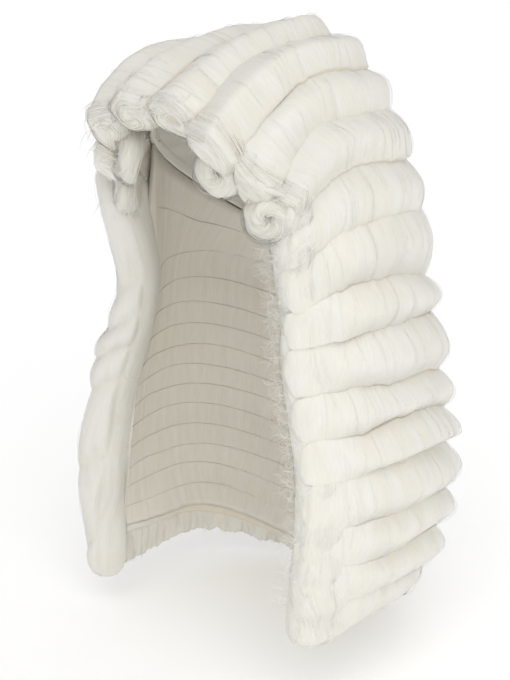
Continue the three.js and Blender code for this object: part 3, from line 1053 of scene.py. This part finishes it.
def roll_body(mesh, roll):
    """The body of a roll: fine columns along it, and rings that round off both ends."""
    first, last = (end_profile(kind, END_RINGS, reach) for kind, reach in zip(roll.ends, roll.reach))
    columns = int(roll.length / COLUMN_STEP)
    middle = np.zeros(columns)
    start, end = np.zeros(END_RINGS - 1), np.full(END_RINGS - 1, roll.length)
    distance = np.concatenate([start, np.linspace(0, roll.length, columns), end])
    ring, around = pairs(np.arange(len(distance)), np.radians(ROLL_ANGLES))
    distance = distance[ring]
    ahead, share, arc = (
        np.concatenate([sign * before[:0:-1], middle + value, after[1:]])[ring]
        for before, after, sign, value in zip(first, last, (-1, 1, -1), (0, 1, 0)))
    points = roll.surface(distance, around, ahead, share, 0.0, arc)
    spiral = WHORL_PITCH * around * ease(np.abs(arc), *WHORL_WAY)
    flow = np.stack([roll.flow(distance + arc, around) + spiral, around * roll.depth], -1)
    # Painted shade: on the slopes and in the creases, fading on the ends, and in the eye of a curled end
    eye = EYE_DIM * np.where(ring < columns, roll.ends[0] == "eye", roll.ends[1] == "eye")
    body = ease(share, *BODY_SHARE)
    deep = np.maximum(roll.shade(distance, around) * body, eye * ease(share, *EYE_SHARE))
    # Painted warm shade in the valley round each crease, carried by the tint
    valley = crease_depth(around, VALLEY_WIDTH) * roll.opened(distance) * body
    tint = clump_tint(ROLL_TINT, roll, flow[..., 0]) + VALLEY_SHADE * valley
    mesh.grid(points, flow, tint, deep, cell=(0, 0, 1, 0.68))


def roll_strands(mesh, roll):
    """Loose strands that lift off a roll."""
    rng = roll.rng
    count = int(roll.length * STRANDS_PER_MM)
    t = np.linspace(0, 1, ROLL_LOOSE.points)
    start = np.radians(draws(rng, count, *STRAND_START))
    sweep = np.radians(draws(rng, count, *STRAND_SWEEP))
    angle = np.maximum(start - sweep * t, np.radians(STRAND_LOWEST))
    place = draws(rng, count, -STRAND_PAST, roll.length + STRAND_PAST)
    size, often = STRAND_WAVE
    drift = drifts(rng, count, STRAND_DRIFT) * (t - 0.5)
    drift = drift + drifts(rng, count, size) * np.sin(often * t + place)
    distance = place + drift - LEAN * roll.lean(place) * (np.sin(start) - np.sin(angle))
    paths = roll.surface(distance, angle, lift=arches(rng, count, ROLL_LOOSE, t))
    # Painted shade on the strands in the creases
    deep = STRAND_DIM * crease_depth(angle, STRAND_CREASE_WIDTH)
    under = facing(roll.surface, distance, angle, ROLL_FACING_STEPS, roll.read(distance)[0])
    width = widths(rng, count, ROLL_LOOSE, t)
    mesh.tubes(rng, paths, width, cell=(0, 0.7, 1, 0.93), deep=deep, material=1, under=under)


def end_strands(mesh, roll):
    """Locks and loose strands that follow the swirl at each end of a roll that is at the front."""
    rng, count = roll.rng, END_STRANDS
    t = np.linspace(0, 1, END_LOOSE.points)
    locks = np.arange(count)[:, None] < END_LOCKS
    for sign, kind, reach in zip((-1, 1), roll.ends, roll.reach):
        if sign * roll.hand > 0:
            continue
        place, low, high = (0.0, 0, 0.49) if sign < 0 else (roll.length, 0.5, 1)
        ahead, share, arc = end_profile(kind, END_FINE, reach)
        sweep = np.radians(draws(rng, count, *END_SWEEP)) * t
        way = draws(rng, count, *END_STARTS[kind]) * arc[-1] + WHORL_PITCH * sweep
        angle = draws(rng, count, 0, FULL_TURN) - sweep
        lift = np.where(locks, LOCK_SINK, arches(rng, count, END_LOOSE, t))
        thick = np.where(locks, draws(rng, count, *LOCK_THICK), draws(rng, count, *END_LOOSE.thick))
        radius = thick * (END_LOOSE.tip + (1 - END_LOOSE.tip) * np.sin(np.pi * t))
        past = np.maximum(way, 0)
        paths = roll.surface(place + sign * np.minimum(way, 0), angle, sign * np.interp(past, arc, ahead),
                             np.interp(past, arc, share), lift, sign * past)
        point, run = roll.read(np.full(angle.shape, place))[:2]
        under = unit(paths - point + sign * END_FACING * run)
        mesh.tubes(rng, paths[:END_LOCKS], radius[:END_LOCKS], cell=(low, 0.94, high, 0.97),
                   sides=LOCK_SIDES)
        mesh.tubes(rng, paths[END_LOCKS:], radius[END_LOCKS:], cell=(low, 0.97, high, 1), material=1,
                   under=under[END_LOCKS:])


def make_roll(name, roll):
    mesh = Mesh()
    roll_body(mesh, roll)
    roll_strands(mesh, roll)
    if roll.curled:
        end_strands(mesh, roll)
    hair_piece(mesh, name)


def make_curl(name, hand, number):
    """A ringlet at the temple: hair that coils round an eye."""
    curl = TEMPLE_CURLS[number]
    rng = generator(CURL_KEY + number, hand + 1)
    spin = math.radians(hand * curl.turn)
    aside = np.array([math.cos(spin), math.sin(spin), 0])
    axis = np.array([-math.sin(spin), math.cos(spin), 0])
    size, tuck, sink = CURL_TUCK[hand]
    centre = np.array(curl.place, float) * (hand, 1, 1) + hand * aside * tuck + axis * sink
    thick = size * (curl.outer - curl.eye) / 2

    def coil(tube, about, proud):
        """Points of the ringlet: about goes round its eye, tube round its thickness from the outer rim."""
        far = size * curl.outer - thick + (thick + proud) * np.cos(tube)
        ahead = (CURL_LENGTH / 2 + proud) * np.sin(tube)
        ring = aside * (far * np.cos(about))[..., None] + UP * (far * np.sin(about))[..., None]
        return clear_of_cap(centre + ring + axis * ahead[..., None])

    mesh = Mesh()
    tube, about = pairs(*(np.linspace(0, FULL_TURN, steps, endpoint=False) for steps in CURL_GRID))
    strand = tube + hand * about
    lumps = noise_field(rng, FULL_TURN / CURL_LUMPS, FULL_TURN / CURL_LUMPS, CURL_LUMPS)(strand, about)
    groove = noise_line(rng, FULL_TURN / CURL_GROOVES, CURL_GROOVES)(strand)
    points = coil(tube, about, CURL_LUMP_HEIGHT * lumps + CURL_GROOVE_HEIGHT * groove + CURL_SINK)
    flow = CURL_STREAK * np.stack([strand, about], -1)
    mesh.grid(points, flow, CURL_TINT, 0.0, cell=(0, 0, 1, 0.5), looped=True)
    count = CURL_STRANDS
    t = np.linspace(0, 1, CURL_LOOSE.points)
    inward = draws(rng, count, *CURL_INWARD) * t
    tube = draws(rng, count, *CURL_START) - inward
    about = draws(rng, count, 0, FULL_TURN) + hand * draws(rng, count, *CURL_SWEEP) * t
    paths = coil(tube, about, arches(rng, count, CURL_LOOSE, t, CURL_RISE))
    under = unit(paths - coil(tube, about, CURL_CORE - thick))
    width = widths(rng, count, CURL_LOOSE, t)
    mesh.tubes(rng, paths, width, cell=(0, 0.52, 1, 0.74), material=1, under=under)
    hair_piece(mesh, name)


def bulge_share(at):
    """How far out a place down the right band is, from a notch (0) to a bulge (1), and its height."""
    starts, heights = np.array(EDGE_BULGES).T
    place = np.clip(np.interp(at, starts, np.arange(len(starts))), 0, len(starts) - BULGE_STOP)
    low = place.astype(int)
    return np.sin(np.pi * (place - low)) ** BULGE_POWER, heights[low]


def slanted(at, around):
    """Rows below the top of the right band, by which its bulges are placed."""
    return at + BULGE_SLANT * ease(around, *BULGE_SLANT_WAY)


def edge_outline():
    """The outline of a band as a smooth closed line: outwards, and forward of the rolls' ends."""
    closed = np.array(EDGE_OUTLINE[-2:] + EDGE_OUTLINE + EDGE_OUTLINE[:2], float)
    return smooth_path(closed, EDGE_STEPS * (len(closed) - 1) + 1)[2 * EDGE_STEPS:-EDGE_STEPS]


def edge_sections(side, line):
    """The outline and the middle of a band at the end of each roll, and at its tip."""
    hand = HANDS[side]
    out, front = line[:, :1], line[:, 1:]
    foremost = int(np.argmax(front))
    sections, middles = [], []
    for number in range(EDGE_FIRST_ROW, len(ROWS)):
        roll = rolls[number]
        back = np.maximum(-front[:, 0], 0) * np.interp(number, *EDGE_BACK)
        point, run, outward = roll.read(back if hand > 0 else roll.length - back)[:3]
        forward, outward = unit(-hand * run * LEVEL), unit(outward * LEVEL)
        shift = np.interp(number, *EDGE_OUT[side])
        high = out * np.where(out > 0, np.interp(number, *EDGE_HIGH[side]), 1.0)
        ahead = np.maximum(front, 0) * np.interp(number, *EDGE_REACH[side])
        sections.append(point + outward * (high + shift * ease(out, *EDGE_OUT_FACE)) + forward * ahead)
        middle = point + outward * (EDGE_MIDDLE[0] + shift) + forward * EDGE_MIDDLE[1]
        middles.append(middle[foremost])
    drop = UP * (LOCK_TIP_Z[side] - ROWS[-1].front_z)
    return sections + [sections[-1] + drop], middles + [middles[-1] + drop]


class Edge:
    """The upright band of hair that the hanging rolls of one side come out of."""

    def __init__(self, side):
        self.hand = HANDS[side]
        self.rng = generator(EDGE_KEY, self.hand + 1)
        line = edge_outline()
        self.around = way_along(line)
        self.perimeter = self.around[-1]
        sections, middles = edge_sections(side, line)
        self.length = len(sections) - 1
        at = np.linspace(0, self.length, EDGE_FINE)
        middle = smooth_path(middles, EDGE_FINE)[:, None]
        left = np.clip((self.length - at) / EDGE_TIP_ROWS, 0, 1)
        top = EDGE_TOP[side]
        taper = (top + (1 - top) * ease(at, *EDGE_TOP_ROWS)) * np.sqrt(1 - (1 - left) ** 2)
        points = middle + (smooth_surface(sections, EDGE_FINE) - middle) * taper[:, None, None]
        normal = unit(np.cross(np.gradient(points, axis=0), np.gradient(points, axis=1)))
        seen = (EDGE_FINE // 2, np.argmax(line[:, 1]))
        normal = normal * np.sign(np.sum(normal[seen] * (points - middle)[seen]))
        taper = np.sqrt(taper)[:, None]
        self.points = points + normal * (self.sway(at[:, None], line[:, 0]) * taper)[..., None]
        self.normals = normal * taper[..., None]
        self.lean = noise_field(self.rng, *EDGE_LEAN_SPACING)
        self.grooves = [noise_line(self.rng, spacing) for spacing in EDGE_GROOVES.spacing]

    def sway(self, at, out):
        """How far the band stands out of its outline: scallops on the left, bulges on the right."""
        outer = ease(out, *EDGE_SWAY_FACE)
        if self.hand > 0:
            sway = EDGE_SCALLOP * np.cos(FULL_TURN * at) * outer
        else:
            share, height = bulge_share(slanted(at, self.around))
            sway = share * height * ease(out, *BULGE_FACE)
        return sway + EDGE_SWAY * noise_line(self.rng, EDGE_SWAY_ROWS)(at) * outer

    def flow(self, at, around):
        """The place across the strands: the same number is the same strand."""
        return around + EDGE_LEAN * self.lean(at, around)

    def shade(self, side, at, around):
        """Painted shade by row, on the left's scallops, and in the right's notches, inner face and creases.
        """
        ripple = at + EDGE_RIPPLE * self.lean(at * 2, around)
        dim = np.interp(at + EDGE_FIRST_ROW, *EDGE_DIM[side])
        if self.hand > 0:
            return dim + SCALLOP_DIM * ease(np.cos(FULL_TURN * (ripple - SCALLOP_PLACE)), *SCALLOP_FACE)
        shade = dim + NOTCH_DIM * (1 - bulge_share(slanted(ripple, around))[0])
        # Painted shade on the right band's inner face, deeper along the creases between rows
        inner = EDGE_INNER_DIM + ROW_CREASE_DIM * np.exp(-((ripple % 1 - 0.5) / ROW_CREASE_WIDTH) ** 2)
        return shade + (inner - shade) * ease(around, *EDGE_INNER)

    def surface(self, at, around, lift=0.0):
        """Points of the band: at counts rows down from its top, and around is the way round its outline."""
        at, around, lift = np.broadcast_arrays(at, around, lift)
        down = np.clip(at, 0, self.length) / self.length * (EDGE_FINE - 1)
        side = np.interp(around % self.perimeter, self.around, np.arange(len(self.around)))
        low_d = np.minimum(down.astype(int), EDGE_FINE - 2)
        low_s = np.minimum(side.astype(int), len(self.around) - 2)
        share_d, share_s = (down - low_d)[..., None], (side - low_s)[..., None]

        def read(grid):
            near, far = (
                blend(grid[row, low_s], grid[row, low_s + 1], share_s) for row in (low_d, low_d + 1))
            return blend(near, far, share_d)

        relief = groove_height(self.grooves, EDGE_GROOVES, self.flow(at, around))
        return read(self.points) + read(self.normals) * (relief + lift)[..., None]


def make_edge(side, edge):
    """The band of hair down the front of a lappet, grooved along its strands, with loose ones over it."""
    rng = edge.rng
    mesh = Mesh()
    rows, steps = EDGE_GRID
    at, way = pairs(np.linspace(0, edge.length - EDGE_END, rows),
                    np.linspace(0, edge.perimeter, steps, endpoint=False))
    flow = np.stack([edge.flow(at, way), at * EDGE_STREAK], -1)
    tint = clump_tint(EDGE_TINT, edge, flow[..., 0])
    mesh.grid(edge.surface(at, way), flow, tint, edge.shade(side, at, way), cell=(0, 0, 1, 0.7))
    count = EDGE_STRANDS
    t = np.linspace(0, 1, EDGE_LOOSE.points)
    start_tip, end_tip = EDGE_STRAND_TIP
    down = draws(rng, count, EDGE_STRAND_TOP, edge.length - start_tip)
    down = down + draws(rng, count, *EDGE_STRAND_ROWS) * t
    down = np.clip(down, 0, edge.length - end_tip)
    way = draws(rng, count, *EDGE_SEEN) + drifts(rng, count, EDGE_STRAND_DRIFT) * t
    size, often = EDGE_STRAND_WAVE
    way = way - EDGE_LEAN * edge.lean(down, way) + size * np.sin(often * t + way)
    paths = edge.surface(down, way, arches(rng, count, EDGE_LOOSE, t))
    width = widths(rng, count, EDGE_LOOSE, t)
    under = facing(edge.surface, down, way, EDGE_FACING_STEPS, edge.surface(down, way, EDGE_INSIDE))
    mesh.tubes(rng, paths, width, cell=(0, 0.72, 1, 1), material=1, under=under)
    hair_piece(mesh, f"front_lock_{side}")


def curly(rng, start, heading, kind):
    """Curly paths that leave start along heading (n, 3)."""
    count = len(start)
    length, curl, turns = (draws(rng, count, *limits) for limits in (kind.length, kind.curl, kind.turns))
    t = np.linspace(0, 1, kind.points)
    first = unit(np.cross(heading, rng.normal(size=heading.shape)))
    second = np.cross(heading, first)
    angle = draws(rng, count, 0, FULL_TURN) + FULL_TURN * turns * t
    size = curl * np.sin(np.pi * np.minimum(t * FRIZZ_GROWS, 0.5)) * (1 - FRIZZ_SHRINKS * t)
    swing = (first[:, None] * (np.cos(angle) * size)[..., None]
             + second[:, None] * (np.sin(angle) * size)[..., None])
    return start[:, None] + heading[:, None] * (length * t)[..., None] + swing


def add_curls(mesh, rng, kind, start, heading, hand, cell, deep=0.0):
    """Fine curls of a kind, which leave start along heading."""
    paths = curly(rng, start, unit(heading), kind)
    width = widths(rng, len(start), kind, np.linspace(FRIZZ_ROOT, 1, kind.points))
    front = unit(np.array(FRIZZ_FACING) * (hand, 1, 1))
    mesh.tubes(rng, paths, width, cell, deep, kind.tint, under=front + 0 * paths)


def band_curls(mesh, rng, side, hand):
    """Curls that stand off the front of a band."""
    edge, count = edges[side], BAND_CURLS[side]
    at = BAND_TOP + rng.beta(*BAND_SHARES, count) * (edge.length - BAND_ENDS)
    start = edge.surface(at, rng.uniform(*BAND_WAY, count))
    aside, ahead, rise = BAND_HEADING
    heading = np.stack([-hand * rng.uniform(*aside, count), rng.uniform(*ahead, count),
                        rng.normal(*rise, count)], 1)
    add_curls(mesh, rng, BAND_FRIZZ, start, heading, hand, cell=(0, 0, 1, 0.3))


def end_wisps(mesh, rng, side, hand):
    """Wisps that leave the ends of the upper rolls at the front."""
    for place, key in enumerate((side, *range(1, HANGING_FROM))):
        roll = rolls[key]
        cell = (place / HANGING_FROM, 0.31, (place + CELL_FILL) / HANGING_FROM, 0.34)
        turn = rng.uniform(*WISP_TURN, WISPS)
        near = rng.uniform(*WISP_NEAR, WISPS)
        distance = near if hand > 0 else roll.length - near
        forward = -hand * roll.read(distance)[1]
        heading = forward + rng.normal(0, WISP_SPREAD, (WISPS, 3)) + UP * WISP_FALL
        add_curls(mesh, rng, WISP_FRIZZ, roll.surface(distance, turn, lift=WISP_SINK), heading, hand, cell)


def rim_hair(mesh, rng, hand):
    """Short curls along the cap's front rim, and hair combed back from there under the crown, with painted
    shade.
    """
    turn = rng.uniform(*np.radians(RIM_TURN), RIM_CURLS)
    start = cap_point(turn, rng.uniform(*RIM_DOWN, RIM_CURLS), CAP_WALL + RIM_OUT) * (hand, 1, 1)
    aside, ahead, rise = RIM_HEADING
    heading = np.stack([hand * rng.normal(*aside, RIM_CURLS), rng.uniform(*ahead, RIM_CURLS),
                        rng.uniform(*rise, RIM_CURLS)], 1)
    add_curls(mesh, rng, RIM_FRIZZ, start, heading, hand, cell=(0, 0.35, 1, 0.6), deep=FRONT_DIM)
    t = np.linspace(0, 1, COMBED_LOOSE.points)
    turn = draws(rng, COMBED, *np.radians(COMBED_TURN))
    down = 1.0 - draws(rng, COMBED, *COMBED_START) - draws(rng, COMBED, *COMBED_BACK) * t
    turn = turn + drifts(rng, COMBED, COMBED_LEAN) * t
    low, long = COMBED_ARCH
    proud = arches(rng, COMBED, COMBED_LOOSE, low + long * t, CAP_WALL + COMBED_OUT)
    paths = cap_point(turn, down, proud) * (hand, 1, 1)
    width = widths(rng, COMBED, COMBED_LOOSE, t)
    under = unit(paths - CAP_CENTRE)
    mesh.tubes(rng, paths, width, cell=(0, 0.62, 1, 1), deep=FRONT_DIM, under=under)


def make_frizz(side, hand):
    """Fine curls that stand off the hair's edge round the front opening, and short hair under the crown."""
    rng = generator(FRIZZ_KEY, hand + 1)
    mesh = Mesh()
    band_curls(mesh, rng, side, hand)
    end_wisps(mesh, rng, side, hand)
    rim_hair(mesh, rng, hand)
    finish_piece(mesh.make(f"hair_face_edge_{side}", [LIT_FINE_HAIR]), [])


def make_fringe():
    """A skirt of short hair under the last roll, longer towards the right, with a fuzzy edge."""
    rng = generator(FRINGE_KEY)
    mesh = Mesh()
    along = np.linspace(*FRINGE_ALONG, FRINGE_COLUMNS)
    point, _, outward = row_frame(ROWS[-1], along)
    level = unit(outward * LEVEL)
    width = way_along(point)
    drop = np.interp(along, (FRINGE_DROP_FROM, 1), FRINGE_DROP) + waves(rng, FRINGE_RAGGED, width)
    ripple = waves(rng, FRINGE_RIPPLES, width)

    def half(down):
        return FRINGE_HALF * (1 - FRINGE_THIN * np.minimum(down, 1) ** 2)

    def read(lines, place):
        return np.stack([np.interp(place, width, line) for line in lines.T], -1)

    def skirt(place, down, out):
        """Points of the skirt: place along the hem, down from the last roll (0) to the ends (1), and out."""
        length = np.interp(place, width, drop) + FRINGE_INSIDE + FRINGE_TOP
        fall = HEM_RISE - FRINGE_INSIDE + length * down
        return read(point, place) + read(level, place) * out[..., None] - UP * fall[..., None]

    levels = np.concatenate([FRINGE_LEVELS, FRINGE_LEVELS[::-1]])
    faces = np.repeat([1, -1], len(FRINGE_LEVELS))
    column, side = pairs(np.arange(FRINGE_COLUMNS), np.arange(len(levels)))
    place, down, ripple = width[column], levels[side], ripple[column]
    middle, change = FRINGE_TINT
    points = skirt(place, down, faces[side] * (half(down) + ripple))
    flow = np.stack([place, FRINGE_STREAK * down], -1)
    # Painted shade, darkest at the top under the last roll
    mesh.grid(points, flow, middle + change * ripple, FRINGE_DIM * (1 - down), cell=(0, 0, 1, 0.5))
    count = FRINGE_STRANDS
    t = np.linspace(0, 1, FRINGE_LOOSE.points)
    face = np.where(draws(rng, count, 0, 1) < FRINGE_OUTSIDE, 1.0, -1.0)
    start = draws(rng, count, *FRINGE_START)
    down = start + (draws(rng, count, *FRINGE_ENDS) - start) * t
    place = draws(rng, count, 0, width[-1]) + drifts(rng, count, FRINGE_DRIFT) * t
    out = face * (half(down) + draws(rng, count, *FRINGE_LOOSE.lift))
    thick = widths(rng, count, FRINGE_LOOSE, t)
    under = read(level, place) * face[..., None]
    mesh.tubes(rng, skirt(place, down, out), thick, cell=(0, 0.52, 1, 1), material=1, under=under)
    hair_piece(mesh, "hem_fringe")


def make_cap():
    """The cap: hair combed over its outside, and net with rows of sewn weft on its inside."""
    rng = generator(CAP_KEY)
    down = np.concatenate([CAP_OUTER, CAP_INNER])
    ring, turn = pairs(np.arange(len(down)), np.linspace(0, FULL_TURN, CAP_TURNS, endpoint=False))
    share = down[ring]
    reach = share * rim_tilt(turn, 0) * CAP_MIDDLE_RADIUS
    place = reach + WEFT_WANDER * noise_field(rng, *WEFT_SPACING)(turn, reach)
    weft = WEFT_HEIGHT * np.exp(-((place % WEFT_STEP - WEFT_STEP / 2) / WEFT_WIDTH) ** 2)
    weft = np.maximum(weft, BINDING_HEIGHT * ease(share, *BINDING_SHARE))
    proud, change = CAP_COMBED
    combed = CAP_WALL + proud + change * noise_line(rng, CAP_COMBED_SPACING)(turn)
    inside = ring >= len(CAP_OUTER)
    points = cap_point(turn, share, np.where(inside, -weft * (share < RIM_SHARE), combed))
    mesh = Mesh()
    # Painted shade on the hair combed over the outside, under the rolls
    mesh.grid(points, np.stack([turn * CAP_STREAK, reach], -1), CAP_TINT, np.where(inside, 0, CAP_DIM),
              material=(np.arange(len(down) - 1) >= len(CAP_OUTER)).astype(int))
    piece = finish_piece(mesh.make("cap_net", [HAIR, NET]), ["cap"])


def curtain_faces(along, count):
    """The outer face of the curtain from the cap's rim to the hem, and the direction out of it."""
    turn = CURTAIN_FRONT_TURN + along * (FULL_TURN - 2 * CURTAIN_FRONT_TURN)
    lines = [cap_point(turn, 1.0, CAP_WALL) - UP * CLEAR_OF_CURTAIN]
    outs = [unit(lines[0] * LEVEL)]
    for row in ROWS[CURTAIN_FIRST_ROW:]:
        point, _, outward = row_frame(row, along)
        lines.append(point - outward * (HANGING_INNER_DEPTH + CLEAR_OF_CURTAIN))
        outs.append(outward)
    return smooth_surface(lines, count), unit(smooth_surface(outs, count))


def make_curtain():
    """The curtain: hair hangs down its inside, sewn on by wefts that run across, row under row."""
    rng = generator(CURTAIN_KEY)
    face, out = curtain_faces(np.linspace(0, 1, CURTAIN_COLUMNS), CURTAIN_LINES)
    width = way_along(face[CURTAIN_LINES // 2])
    level = np.linspace(0, CURTAIN_HEIGHT, CURTAIN_LINES)
    strand = width + CURTAIN_DRIFT * noise_field(rng, *CURTAIN_DRIFT_SPACING)(level[:, None], width)
    inner = face - out * (CURTAIN_WALL + waves(rng, CURTAIN_GROOVES, strand))[..., None]
    sparse = np.linspace(0, CURTAIN_LINES - 1, CURTAIN_OUTER_LINES).astype(int)
    loop = np.concatenate([face[sparse], inner[::-1]])
    levels = np.concatenate([level[sparse], level[::-1]])
    flow = np.stack(np.broadcast_arrays(strand[0], levels[:, None]), -1)
    # Painted shade on the outer face, behind the rolls
    deep = np.where(np.arange(len(levels)) < len(sparse), CURTAIN_DIM, 0.0)
    mesh = Mesh()
    mesh.grid(loop.transpose(1, 0, 2), flow.transpose(1, 0, 2), CURTAIN_TINT, deep, cell=(0, 0, 1, 0.8))
    lines = np.arange(SEWN_FIRST_LINE, CURTAIN_LINES, SEWN_LINE_STEP)
    columns = np.linspace(0, CURTAIN_COLUMNS - 1, SEWN_POINTS).astype(int)
    wander = noise_field(rng, *SEWN_WANDER_SPACING)(np.arange(len(lines))[:, None], np.arange(SEWN_POINTS))
    wefts = (inner - out * SEWN_PROUD)[lines][:, columns] + UP * SEWN_WANDER * wander[..., None]
    mesh.tubes(rng, wefts, SEWN_RADIUS, cell=(0, 0.82, 1, 1), deep=SEWN_DIM, tint=SEWN_TINT,
               sides=LOCK_SIDES)
    piece = finish_piece(mesh.make("curtain_net", [HAIR]), ["curtain"])


def direction(azimuth, elevation):
    """The direction to a place round the wig, from the front, in degrees."""
    turn, rise = math.radians(azimuth), math.radians(elevation)
    return Vector((math.sin(turn) * math.cos(rise), -math.cos(turn) * math.cos(rise), math.sin(rise)))


def place_object(name, data, toward):
    """A new object that looks from the direction toward to the wig."""
    placed = bpy.data.objects.new(name, data)
    placed.rotation_euler = (-toward).to_track_quat("-Z", "Y").to_euler()
    bpy.context.scene.collection.objects.link(placed)
    return placed


def make_camera():
    toward = direction(VIEW_AZIMUTH, VIEW_ELEVATION)
    camera = place_object("camera", bpy.data.cameras.new("camera"), toward)
    camera.data.lens = VIEW_LENS
    camera.data.clip_start = VIEW_CLIP
    camera.location = (VIEW_TARGET + toward * VIEW_DISTANCE) * MM
    bpy.context.scene.camera = camera


def make_sun(sun):
    light = bpy.data.lights.new(sun.name, "SUN")
    light.energy = sun.strength
    light.angle = math.radians(sun.width)
    place_object(sun.name, light, direction(sun.azimuth, sun.elevation))


def make_floor():
    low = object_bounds()[0].z - FLOOR_GAP
    mesh = bpy.data.meshes.new("floor")
    corners = [(x * FLOOR_HALF, y * FLOOR_HALF, low) for x, y in ((-1, -1), (1, -1), (1, 1), (-1, 1))]
    mesh.from_pydata(corners, [], [(0, 1, 2, 3)])
    mesh.materials.append(floor_material("studio_floor"))
    floor = bpy.data.objects.new("floor", mesh)
    bpy.context.scene.collection.objects.link(floor)


def make_world():
    world = bpy.data.worlds.new("studio")
    world.use_nodes = True
    background = world.node_tree.nodes["Background"]
    background.inputs["Color"].default_value = WHITE
    background.inputs["Strength"].default_value = WORLD_STRENGTH
    bpy.context.scene.world = world
    bpy.context.scene.view_settings.view_transform = "Standard"


rolls = {number: Roll(number) for number in range(1, len(ROWS))}
for number, roll in rolls.items():
    make_roll(f"roll_{number + 1:02d}", roll)
rolls["left"] = Roll(0, 0.0, CROWN_END / 2)
rolls["right"] = Roll(0, 1 - CROWN_END / 2, 1.0)
edges = {side: Edge(side) for side in HANDS}
for side in HANDS:
    make_roll(f"crown_roll_{side}", rolls[side])
for side, hand in HANDS.items():
    for number in range(len(TEMPLE_CURLS)):
        make_curl(f"temple_curl_{side}_{number + 1}", hand, number)
for side, edge in edges.items():
    make_edge(side, edge)
for side, hand in HANDS.items():
    make_frizz(side, hand)
make_fringe()
make_cap()
make_curtain()
make_camera()
for sun in SUNS:
    make_sun(sun)
make_floor()
make_world()
